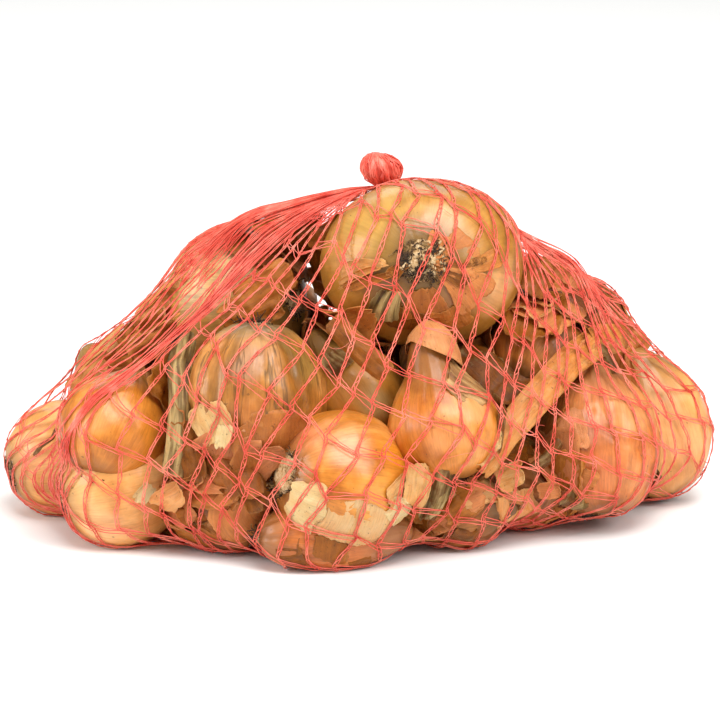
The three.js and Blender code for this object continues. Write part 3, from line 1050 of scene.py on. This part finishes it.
# Loose skins: (place, width, height, vein angle in the picture, tone, inward, blush).
LOOSE_SKINS = [
    ((188, 452), 9, 17, 100, 0.68, 2.5, 0.0),
    ((228, 470), 15, 20, 120, 0.66, 2.5, 0.15),
    ((252, 488), 9, 14, 120, 0.7, 4.0, 0.0),
    ((168, 500), 8, 9, 30, 0.3, 1.0, 0.3),
    ((190, 512), 10, 8, 20, 0.62, 3.0, 0.1),
    ((196, 500), 12, 12, 70, 0.78, 6.0, 0.0),
    ((212, 526), 15, 9, 150, 0.62, 2.0, 0.1),
    ((398, 512), 9, 7, 40, 0.04, 0.6, 0.0),
    ((418, 486), 8, 12, 75, 0.24, 2.0, 0.0),
    ((438, 498), 7, 14, 70, 0.9, 2.0, 0.0),
    ((414, 542), 10, 6, 60, 0.34, 0.6, 0.7),
    ((434, 540), 6, 6, 90, 0.34, 0.6, 0.6),
    ((460, 503), 11, 12, 40, 0.6, 3.0, 0.0),
    ((490, 450), 9, 11, 50, 0.18, 2.0, 0.0),
    ((512, 476), 8, 8, 20, 0.3, 2.0, 0.0),
    ((498, 512), 12, 11, 60, 0.3, 1.2, 0.3),
    ((524, 508), 11, 10, 100, 0.3, 1.5, 0.3),
    ((548, 520), 11, 8, 160, 0.48, 2.0, 0.1),
    ((549, 490), 5, 6, 0, 0.5, 2.0, 0.5),
    ((578, 499), 9, 7, 70, 0.84, 1.5, 0.0),
    ((606, 298), 12, 14, 60, 0.66, 1.5, 0.0),
    ((572, 271), 9, 8, 60, 0.4, 1.5, 0.8),
    ((640, 335), 12, 14, 40, 0.5, 2.5, 0.2),
    ((266, 285), 12, 17, 40, 0.56, 6.0, 0.1),
    ((250, 308), 14, 18, 30, 0.6, 6.0, 0.0),
    ((150, 335), 14, 16, 40, 0.46, 3.5, 0.2),
    ((98, 350), 18, 16, 30, 0.3, 1.0, 0.1),
    ((84, 368), 13, 14, 60, 0.34, 1.2, 0.1),
    ((122, 344), 14, 12, 20, 0.42, 1.6, 0.1),
    ((160, 297), 17, 20, 40, 0.34, 2.5, 0.1),
    ((138, 320), 15, 16, 40, 0.42, 2.5, 0.1),
    ((328, 230), 9, 12, 70, 0.66, 8.0, 0.0),
    ((290, 226), 15, 18, 30, 0.56, 5.0, 0.0),
    ((534, 268), 15, 15, 60, 0.66, 6.0, 0.1),
    ((562, 266), 13, 13, 60, 0.5, 3.5, 0.3),
    ((290, 550), 14, 7, 10, 0.72, 1.0, 0.0),
    ((360, 560), 18, 6, 5, 0.66, 1.0, 0.0),
    ((465, 532), 14, 6, 20, 0.74, 1.0, 0.0),
]

# Long dried necks and leaves: (places along it, width, tone, roll, inward, taper, blush).
STRAPS = [
    (
        [(624, 336), (600, 340), (570, 361), (539, 396), (508, 433), (480, 472)],
        9.0, 0.38, 0.8, 0.9, 12.0, 0.08,
    ),
    ([(186, 330), (179, 365), (181, 405), (178, 445), (172, 476)], 8.0, 0.92, 2.0, 2.0, 9.0, 0.0),
    ([(331, 320), (350, 340), (368, 357), (388, 374)], 7.0, 0.66, 1.3, 4.0, 5.0, 0.0),
    ([(443, 470), (438, 492), (428, 520)], 5.0, 0.84, 2.0, 2.0, 6.0, 0.0),
    ([(560, 440), (548, 458), (532, 470)], 4.0, 0.8, 2.0, 3.0, 4.0, 0.0),
    ([(34, 456), (41, 446), (52, 438), (56, 428)], 1.4, 0.82, 2.0, 1.2, 6.0, 0.0),
    ([(597, 347), (607, 356), (615, 372)], 4.0, 0.84, 2.0, 2.0, 4.0, 0.0),
]


# Circles of the picture where the shallots stay clear of fallen skins: place and radius.
CLEAR = [
    ((352, 396), 56), ((262, 372), 78), ((440, 405), 64), ((112, 430), 62), ((528, 348), 34),
    ((345, 465), 74), ((605, 425), 66), ((110, 515), 54), ((30, 440), 50), ((690, 430), 60),
    ((430, 262), 100), ((215, 270), 60), ((250, 525), 26),
]
# The gap between two of the bulbs through which the background shows, as place and radius.
SEEN_THROUGH = ((318, 280), 33)


def clear(spot):
    """Whether a skin here leaves the shallots in front, and the gap, in sight."""
    x, y = in_picture(spot)
    in_front = (spot - CAMERA_AT) @ LOOKING < CAMERA_AWAY + 8
    circles = [SEEN_THROUGH] + (CLEAR if in_front else [])
    return all(math.hypot(x - at[0], y - at[1]) > radius for at, radius in circles)


def apart(spot, others, distance):
    return all(np.linalg.norm(spot - other) > distance for other in others)


class SHALLOTS_OT_dry_skins(bpy.types.Operator):
    """Make the peeling, loose and fallen dry skins"""

    bl_idname = "shallots.dry_skins"
    bl_label = "Dry skins"

    def execute(self, context):
        skins = Skins()
        for seed, (name, place, wide, tall, turn, tone, lift, curl, blush) in enumerate(PEELINGS):
            shallot = SHALLOTS[name]
            shape = peeling(shallot, *on_shallot(shallot, place), turn, seed, lift, curl)
            # The further a skin has lifted, the nearer it comes to the net.
            inside = 0.32 - 0.35 * min(lift, 1.2)
            skins.add(wide, tall, shape, tone, seed, (26, 26), 0.3, 5.0, blush, inside)
        skins.add(35.2, 17, hood(SHALLOTS["necked"]), 0.26, 77, (70, 30), 0.04, 30.0, 0.6, 0.15)
        skins.finish("skins_peeling")

        skins = Skins()
        draw = random.Random(3)
        for seed, (place, wide, tall, vein, tone, inward, blush) in enumerate(LOOSE_SKINS, 100):
            origin = on_net(place, inward)
            angle = math.radians(vein)
            along = math.cos(angle) * np.array((1.0, 0, 0)) + math.sin(angle) * PICTURE_UP
            outward = -LOOKING + 0.5 * np.array([draw.uniform(-1, 1) for _ in range(3)])
            bend, curl, crease = draw.uniform(6, 12), draw.uniform(0.4, 1.6), 0.35 + 0.06 * wide
            shape = loose(origin, outward, along, seed, bend, crease, curl)
            skins.add(wide, tall, shape, tone, seed, (22, 24), 0.24, 4.5, blush, 0.05)
        skins.finish("skins_loose")

        skins = Skins()
        for seed, (places, wide, tone, roll, inward, taper, blush) in enumerate(STRAPS, 200):
            shape, total = strap(places, wide, seed, inward, roll, 0.08 * min(wide, 7.0))
            skins.add(wide, total * 1.02, shape, tone, seed, (22, 48), 0.1, taper, blush)
        skins.finish("dried_necks")

        # Old skins round the shallots, wherever a gap between them leaves room under the net,
        # in two pieces so that neither is too large.
        halves = (Skins(), Skins())
        draw = np.random.default_rng(17)
        names = list(SHALLOTS)
        seed = 300
        tones, shares = zip(
            (0.24, 0.1), (0.42, 0.16), (0.52, 0.2), (0.6, 0.2),
            (0.66, 0.16), (0.72, 0.12), (0.8, 0.06),
        )
        kept = []
        for _ in range(1500):
            shallot = SHALLOTS[names[draw.integers(len(names))]]
            longitude = draw.uniform(-math.pi, math.pi)
            latitude = math.asin(draw.uniform(-0.8, 0.9))
            way = direction(longitude, latitude)
            out = reach(shallot, way[None])[0] + draw.uniform(0.5, 1.8)
            spot = laid(shallot, way * out)
            if spot[2] < 2 or depth_in_shallots(spot[None])[0] > -0.4 or not clear(spot):
                continue
            if NET_TREE.find_nearest(Vector(spot))[3] < 3.2 or not apart(spot, kept, 5.0):
                continue
            kept.append(spot)
            tone = float(draw.choice(tones, p=shares))
            lift, curl = draw.uniform(0.3, 1.2), draw.uniform(0.5, 3.0)
            turn = draw.uniform(-25, 25)
            shape = peeling(shallot, longitude, latitude, turn, seed, lift, curl, crease=0.6)
            wide, tall = draw.uniform(11, 19), draw.uniform(14, 26)
            blush = float(draw.choice([0.0, 0.2, 0.6]))
            halves[seed % 2].add(wide, tall, shape, tone, seed, (14, 17), 0.34, 4.0, blush)
            seed += 1
        for part, skins in enumerate(halves, 1):
            skins.finish(f"skins_round_shallots_{part}")

        # And skins that have dropped off and fill the deeper hollows, their darker tones standing
        # in for the shade there.
        skins = Skins()
        net = net_surface()
        tries = 900
        rounds, downs = draw.uniform(0, 1, tries), draw.uniform(0.04, 0.97, tries)
        surface = net.at(rounds, downs)
        spots = surface - net.outward(rounds, downs) * draw.uniform(9.0, 22.0, tries)[:, None]
        gap = -depth_in_shallots(spots)
        kept = []
        for spot, room in zip(spots, gap):
            if 1.0 < room < 7.0 and clear(spot) and spot[2] > 3 and apart(spot, kept, 8.0):
                kept.append(spot)
        for seed, spot in enumerate(kept, seed):
            outward = unit(spot - NET_MIDDLE) + draw.normal(0, 0.5, 3)
            wide, tall = draw.uniform(13, 22), draw.uniform(16, 28)
            vein, bend = draw.normal(0, 1, 3), draw.uniform(8, 16)
            shape = loose(spot, outward, vein, seed, bend, 2.0)
            # Mid to dark tones: painted shade in the hollows.
            skins.add(wide, tall, shape, draw.uniform(0.5, 0.76), seed, (14, 16), 0.3)
        skins.finish("skins_fallen_as_shade")
        return {"FINISHED"}


def hair(start, way, length, draw, kink):
    """One root hair, kinked and matted, as a path."""
    points = [np.asarray(start, float)]
    way = unit(way)
    for _ in range(7):
        way = unit(way + np.array([draw.gauss(0, kink) for _ in range(3)]))
        points.append(points[-1] + way * length / 7)
    return points


class SHALLOTS_OT_roots(bpy.types.Operator):
    """Make the root plates and their dried hairs"""

    bl_idname = "shallots.roots"
    bl_label = "Roots"

    def execute(self, context):
        finish = material("root", root_material)
        draw = random.Random(9)
        plates = bmesh.new()
        hairs, stubs = [], []
        for index, (name, shallot) in enumerate(SHALLOTS.items()):
            size = {"front": 5.4, "top": 5.6}.get(name, shallot["across"] * 0.1)
            made = bmesh.ops.create_uvsphere(plates, u_segments=24, v_segments=12, radius=1.0)
            made = made["verts"]
            ways = points_of(made)
            rough = 1 + 0.25 * wobble(ways, 2.4, index) + 0.12 * wobble(ways, 6.0, index + 5)
            foot = -(shallot["tall"] / 2 - 1.1)
            plate = ways * rough[:, None] * np.array((size, size, 0.8)) + (0, 0, foot - 0.1)
            set_points(made, tucked(laid(shallot, plate), 0.2))
            bushy, bare = name == "top", name == "front"
            for count in range(340 if bushy else int(16 + size * 9)):
                # The front one kept only a fringe, and those of the top one grew in two clumps.
                angle = draw.uniform(0, 2 * math.pi)
                out = size * (1.0 if bare else math.sqrt(draw.uniform(0.05, 1.0)))
                clump = draw.choice((-0.5, 0.5)) * size if bushy else 0.0
                x = out * (0.6 if bushy else 1.0) * math.cos(angle) + clump
                start = (x, out * math.sin(angle), foot - 0.5)
                way = (math.cos(angle), math.sin(angle), -draw.uniform(0.0, 0.8))
                stub = bushy and count % 13 == 0
                long = draw.uniform(1.5, 3.0) if stub or bare else draw.uniform(1.5, 4.8)
                path = np.array(hair(start, way, long, draw, 0.85 if bushy else 0.4))
                (stubs if stub else hairs).append(tucked(laid(shallot, path), -0.1))
        corky = material("plate", root_plate_material)
        finished(plates, "root_plates", corky)
        tubes("root_hairs", hairs, 0.28, finish)
        tubes("root_stubs", stubs, 0.7, corky)
        return {"FINISHED"}


# ---- The net ----


def tubes(name, paths, thickness, finish):
    """One mesh of many thin threads, each along its own path in millimetres."""
    curve = bpy.data.curves.new(name, "CURVE")
    curve.dimensions = "3D"
    curve.bevel_depth = thickness / 2 * MM
    curve.bevel_resolution = 0
    curve.use_fill_caps = True
    for path in paths:
        spline = curve.splines.new("POLY")
        spline.points.add(len(path) - 1)
        flat = np.ones((len(path), 4))
        flat[:, :3] = np.asarray(path) * MM
        spline.points.foreach_set("co", flat.ravel())
    holder = in_scene(name, curve)
    bpy.context.view_layer.update()
    shown = holder.evaluated_get(bpy.context.evaluated_depsgraph_get())
    mesh = bpy.data.meshes.new_from_object(shown)
    mesh.name = name
    bpy.data.objects.remove(holder)
    bpy.data.curves.remove(curve)
    mesh.shade_smooth()
    return placed(mesh, name, finish)


# Bunches of drawn-in net, as how many threads, where round the net, how wide and how far down.
FANS = [(95, 0.463, 0.013, 52), (8, 0.53, 0.02, 80), (28, 0.585, 0.017, 94), (20, 0.01, 0.02, 75)]


class NetKnit:
    """Pillars and the slanting rows that lace them together."""

    def __init__(self, settings):
        self.net = net_surface()
        self.count = settings.pillars
        self.mesh = settings.mesh / MM
        self.turns = settings.turns
        self.thread = settings.thread / MM
        self.drop = self.turns * self.mesh / self.count
        self.rows = int((self.net.length + self.drop * self.count) / self.mesh) + 2
        # Each crossing wanders a little, as the net isn't drawn evenly.
        shape = (self.count, self.rows * 2 + 4)
        rng = np.random.default_rng(5)
        self.shift_round = rng.normal(0, 0.17, shape)
        self.shift_down = rng.normal(0, 1.25, shape)
        # The net is bunched at the left, round 0.47, and down the right slope, round 0 and 1.
        place = np.linspace(0, 1, 2001)
        right = hump(place, 0.02, 0.05) + hump(place, 1.02, 0.05)
        crowd = 1 + 0.5 * hump(place, 0.47, 0.05) + 0.5 * right - 0.38 * hump(place, 0.64, 0.07)
        self.order = np.concatenate([[0], np.cumsum((crowd[1:] + crowd[:-1]) / 2)])
        self.order /= self.order[-1]
        self.place = place

    def round_of(self, pillar):
        """Where a pillar is round the net, 0 to 1, for whole pillars and parts of one."""
        turn, part = divmod(pillar / self.count, 1.0)
        return turn + float(np.interp(part, self.order, self.place))

    def joint(self, pillar, row):
        """The two ends of a crossing, as round and length from the knot.

        The row before pulls its upper end back, and the row after pulls its lower end on.
        """
        turn, column = divmod(pillar, self.count)
        row = row + turn * self.turns  # a row comes back round lower by so many meshes
        index = (row + self.rows) % self.shift_round.shape[1]
        length = row * self.mesh + self.drop * column
        fade = min(max(length / 26.0, 0.0), 1.0)
        at = column + 0.5 + fade * self.shift_round[column, index]
        length += fade * self.shift_down[column, index]
        pull = 0.07 * fade
        upper, lower = self.round_of(at - pull) + turn, self.round_of(at + pull) + turn
        return (upper, length - 0.6), (lower, length + 0.6)

    def ends_round(self, pillar, row):
        """The ends of a crossing, between the nearest ends of those before and after it."""
        before, after = self.joint(pillar, row - 1)[1], self.joint(pillar, row + 1)[0]
        return [before, *self.joint(pillar, row), after]


def slid(rounds, lengths):
    """Where the net has slid round the heap: it is bunched in front of the left shoulder,
    which it leaves bare, its pillars lean below the front, and its bundle opens at the right."""
    part = np.asarray(rounds) % 1.0
    bunched = 0.07 * hump(part, 0.525, 0.06) * smoothstep(18, 62, lengths)
    bunched = bunched + 0.04 * hump(part, 0.475, 0.05) * smoothstep(52, 80, lengths)
    bunched = bunched * (1 - 0.7 * smoothstep(92, 125, lengths))
    leaning = 0.0007 * np.clip(lengths - 40.0, 0, 90) * hump(part, 0.77, 0.12)
    off = (part + 0.49) % 1.0 - 0.5
    opened = 0.75 * off * hump(off, 0, 0.09) * smoothstep(55, 95, lengths)
    return rounds + bunched - leaning + opened


class SHALLOTS_OT_net(bpy.types.Operator):
    """Knit the net over the shallots"""

    bl_idname = "shallots.net"
    bl_label = "Net"

    def execute(self, context):
        settings = context.scene.net_sizes
        knit = NetKnit(settings)
        net = knit.net
        finish = material("thread", thread_material, settings)
        draw = random.Random(21)
        start, end = 1.5, net.length - 6.0  # of every thread, below the knot and under the heap
        first = -int(knit.drop * knit.count / knit.mesh) - 1
        pillar_paths, loop_paths, row_paths = [], [], []

        def lay(rounds, lengths, lift, aside):
            """A thread over the surface, lifted off it and moved to its sides."""
            # Where it is bunched its pillars are drawn out thin.
            tight = hump(rounds % 1.0, 0.52, 0.09) * (1 - smoothstep(90, 120, lengths))
            aside = aside * (1 - 0.65 * tight)
            rounds, downs = slid(rounds, lengths), net.row_at(lengths)
            points = net.at(rounds, downs)
            outward = net.outward(rounds, downs)
            beside = np.cross(outward, unit(np.gradient(points, axis=0)))
            points = points + outward * lift[:, None] + beside * aside[:, None]
            points[:, 2] = np.maximum(points[:, 2], THREAD_OFF_TABLE)
            return points

        def stretch(stops, step):
            """Rounds and lengths through the stops, about a step apart, and the run so far."""
            rounds, lengths = np.array(stops, float).T
            runs = run_of(net.at(rounds, net.row_at(lengths)))
            along = np.linspace(0, runs[-1], max(int(runs[-1] / step), 3) + 1)
            return np.interp(along, runs, rounds), np.interp(along, runs, lengths), along

        def half_wide(along, column):
            """How far a pillar's edge threads stand from its middle."""
            slow, fast = np.sin(along * 0.45 + column), np.sin(along * 1.3 + 2 * column)
            return 0.38 + 0.12 * slow + 0.05 * fast

        def between(stops, at):
            """The round and length at a share of the way through four stops, from 0 to 3."""
            return [np.interp(at, (0, 1, 2, 3), [stop[axis] for stop in stops]) for axis in (0, 1)]

        for column in range(knit.count):
            joints = [knit.joint(column, row) for row in range(first, knit.rows)]
            stops = [end_ for joint in joints for end_ in joint if start < end_[1] < end]
            stops = [(stops[0][0], start)] + stops + [(stops[-1][0], end)]
            # Two edge threads and one that loops from side to side between them.
            rounds, lengths, along = stretch(stops, 0.62)
            wave = math.pi * along / 1.5 + column
            aside = 0.9 * half_wide(along, column) * np.cos(wave)
            loop_paths.append(lay(rounds, lengths, 0.34 + 0.1 * np.sin(wave), aside))
            rounds, lengths, along = stretch(stops, 1.1)
            spread = half_wide(along, column)
            for side in (-1, 1):
                kink = np.array([draw.gauss(0, 0.07) for _ in along])
                lift = 0.2 + 0.5 * np.abs(kink)
                pillar_paths.append(lay(rounds, lengths, lift, side * spread + kink))
            for row in range(first, knit.rows):
                left, right = knit.ends_round(column, row), knit.ends_round(column + 1, row)
                if not all(start + 2 < stop[1] < end for stop in left + right):
                    continue
                # In the fan the rows have drawn into the pillars.
                in_fan = 0.43 < left[1][0] % 1.0 < 0.61 and left[1][1] < 82
                if in_fan and draw.random() < 0.85:
                    continue
                for strand in range(3):
                    # One thread runs from crossing to crossing. The others leave the pillar
                    # above it or join the next one below it, which makes small triangles.
                    leave = (1.5, draw.uniform(0.84, 0.96), draw.uniform(1.5, 2.02))[strand]
                    meet = (1.5, draw.uniform(1.1, 1.6), draw.uniform(2.02, 2.14))[strand]
                    ends = [between(left, leave), between(right, meet)]
                    rounds, lengths, along = stretch(ends, 1.1)
                    t = along / along[-1]
                    aside = np.sin(math.pi * t) * draw.uniform(-0.35, 0.35)
                    aside += 0.06 * np.sin(along * 2.0 + strand)
                    row_paths.append(lay(rounds, lengths, 0.2 + 0.12 * strand + 0 * t, aside))

        # The fine fan of bunched net from the knot over the upper left, dense at its upper
        # edge and along its foot, and the bundle that runs down the right slope.
        fan = []
        for count, middle, wide, far in FANS:
            for _ in range(count):
                at = draw.gauss(middle, wide)
                shift = draw.uniform(-0.012, 0.012)
                reach_ = far * draw.uniform(0.6, 1.1)
                lengths = np.arange(start, min(reach_, end), 1.6)
                t = lengths / lengths[-1]
                sway = 0.0016 * np.sin(lengths * draw.uniform(0.2, 0.6) + draw.uniform(0, 6))
                lift = draw.uniform(0.2, 1.5) * np.sin(math.pi * np.clip(t, 0.02, 1)) ** 0.5 + 0.15
                aside = 0.2 * np.sin(lengths * 0.7 + draw.uniform(0, 6))
                fan.append(lay(at + shift * t + sway, lengths, lift, aside))

        # Filaments that have broken off the yarn and stand off it.
        fuzz = []
        for _ in range(700):
            column, row = draw.randrange(knit.count), draw.randrange(first, knit.rows)
            at, length = knit.joint(column, row)[0]
            length += draw.uniform(0, knit.mesh)
            if not start + 4 < length < end:
                continue
            run = np.linspace(0, draw.uniform(2.0, 6.0), 6)
            turn, bend = draw.uniform(0, 2 * math.pi), draw.uniform(-0.35, 0.35)
            rounds = at + 0.0045 * np.sin(turn + bend * run) * run / 2
            lengths = length + np.cos(turn + bend * run) * run
            fuzz.append(lay(rounds, lengths, 0.3 + 0.1 * run, 0 * run))

        # In parts, so that no piece is too large.
        for name, paths, parts, thick in (
            ("net_pillars", pillar_paths, 2, 0.88), ("net_loops", loop_paths, 2, 0.7),
            ("net_rows", row_paths, 3, 0.78), ("net_fan", fan, 2, 0.78),
            ("net_fuzz", fuzz, 1, 0.32),
        ):
            share = -(-len(paths) // parts)
            for part in range(parts):
                some = paths[part * share : (part + 1) * share]
                tubes(f"{name}_{part + 1}", some, knit.thread * thick, finish)
        return {"FINISHED"}


class SHALLOTS_OT_knot(bpy.types.Operator):
    """Tie the net's end in a short knot"""

    bl_idname = "shallots.knot"
    bl_label = "Knot"

    def execute(self, context):
        settings = context.scene.net_sizes
        finish = material("thread", thread_material, settings)
        draw = random.Random(4)
        half = np.array((5.2, 4.8, 5.9))

        def bun(round_, high, size=1.0):
            """A point of the pleated bun: round it, and from -1 at its foot to 1 on top."""
            girth = np.sqrt(np.clip(1 - high**2, 0.0, 1)) * (1 - 0.3 * hump(high, -0.75, 0.3))
            crease = np.abs(np.cos(4.5 * round_ + 0.9 * high)) * 0.32
            crease = crease + np.abs(np.cos(2.5 * round_ + 1.0)) * 0.14
            out = girth * (0.7 + crease * np.clip(1.1 - high**4, 0, 1)) * size
            # It leans to the left and its foot stands to the right.
            x = out * np.cos(round_) * half[0] - 1.6 * high * np.abs(high)
            z = np.where(high > 0, 0.86, 1.0) * high * half[2] * size
            return np.stack([x, out * np.sin(round_) * half[1], z], axis=-1) + KNOT_AT

        bm, ways = globe(108, 48)
        points = bun(np.arctan2(ways[:, 1], ways[:, 0]), ways[:, 2])
        set_points(bm.verts, points + 0.4 * wobble(points, 0.4, 3)[:, None])
        finished(bm, "knot_core", finish)
        # Threads that wrap the bun from its foot over its top.
        loops = []
        t = np.linspace(0, 1, 20)
        for index in range(90):
            start, sweep = draw.uniform(0, 2 * math.pi), draw.uniform(-0.7, 0.7)
            size, far = draw.uniform(1.0, 1.05), draw.uniform(0.9, 1.0)
            rounds = start + sweep * t + 0.08 * np.sin(9 * t + index)
            loops.append(bun(rounds, -0.97 + 1.85 * t * far, size))
        tubes("knot_threads", loops, settings.thread / MM, finish)
        return {"FINISHED"}


# ---- Floor, light and camera ----


class SHALLOTS_OT_stage(bpy.types.Operator):
    """Set up the floor, the lights and the camera"""

    bl_idname = "shallots.stage"
    bl_label = "Stage"

    def execute(self, context):
        scene = context.scene
        settings = scene.stage_sizes
        bm = bmesh.new()
        bmesh.ops.create_grid(bm, x_segments=2, y_segments=2, size=6.0)
        floor = in_scene("floor", meshed(bm, "floor"))
        floor.data.materials.append(floor_material(settings))
        floor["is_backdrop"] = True

        world = bpy.data.worlds.new("studio")
        world.use_nodes = True
        plug(world.node_tree.nodes["Background"], {"Color": (1, 1, 1, 1), "Strength": 0.42})
        scene.world = world

        def softbox(name, at, size, power):
            light = bpy.data.lights.new(name, "AREA")
            light.shape = "RECTANGLE"
            light.size, light.size_y = size
            light.energy = power
            holder = in_scene(name, light)
            holder.location = at
            aim = Vector((0, 0, 0.04)) - Vector(at)
            holder.rotation_euler = aim.to_track_quat("-Z", "Y").to_euler()

        softbox("top_softbox", (0.2, -0.45, 1.15), (0.8, 0.7), settings.key)
        softbox("left_softbox", (-1.15, -0.3, 0.5), (0.5, 0.6), settings.key * 0.55)
        softbox("right_softbox", (0.85, -0.6, 0.75), (0.5, 0.5), settings.key * 0.4)
        softbox("back_softbox", (-0.1, 1.0, 0.9), (1.0, 0.5), settings.key * 0.3)

        camera = bpy.data.cameras.new("camera")
        camera.sensor_width = 36.0
        camera.lens = 36.0 * CAMERA_AWAY / PICTURE_WIDE
        camera.clip_start = 0.01
        camera.clip_end = 20.0
        holder = in_scene("camera", camera)
        holder.location = Vector(CAMERA_AT) * MM
        holder.rotation_euler = (math.pi / 2 - CAMERA_TILT, 0, 0)
        scene.camera = holder
        scene.view_settings.view_transform = "Standard"
        return {"FINISHED"}


class SHALLOTS_PT_panel(bpy.types.Panel):
    """Lists the pieces and their sizes"""

    bl_idname = "SHALLOTS_PT_panel"
    bl_label = "Net of shallots"
    bl_space_type = "VIEW_3D"
    bl_region_type = "UI"
    bl_category = "Shallots"

    def draw(self, context):
        for group in GROUPS:
            box = self.layout.box()
            settings = getattr(context.scene, group)
            for name in settings.__annotations__:
                box.prop(settings, name)
        for operator in OPERATORS:
            self.layout.operator(operator.bl_idname)


OPERATORS = (
    SHALLOTS_OT_stage,
    SHALLOTS_OT_bulbs,
    SHALLOTS_OT_dry_skins,
    SHALLOTS_OT_roots,
    SHALLOTS_OT_net,
    SHALLOTS_OT_knot,
)
GROUPS = {"shallot_sizes": ShallotSizes, "net_sizes": NetSizes, "stage_sizes": StageSizes}
CLASSES = (*GROUPS.values(), *OPERATORS, SHALLOTS_PT_panel)


def register():
    for made in CLASSES:
        bpy.utils.register_class(made)
    for name, group in GROUPS.items():
        setattr(bpy.types.Scene, name, bpy.props.PointerProperty(type=group))


def unregister():
    for name in GROUPS:
        delattr(bpy.types.Scene, name)
    for made in reversed(CLASSES):
        bpy.utils.unregister_class(made)


def main():
    register()
    for operator in OPERATORS:
        group, name = operator.bl_idname.split(".")
        getattr(getattr(bpy.ops, group), name)()
    plain = lambda box: [[float(v) for v in corner] for corner in box]
    {"cad": plain(CAD_BOX), "visual": plain(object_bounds())}


if __name__ == "__main__":
    main()
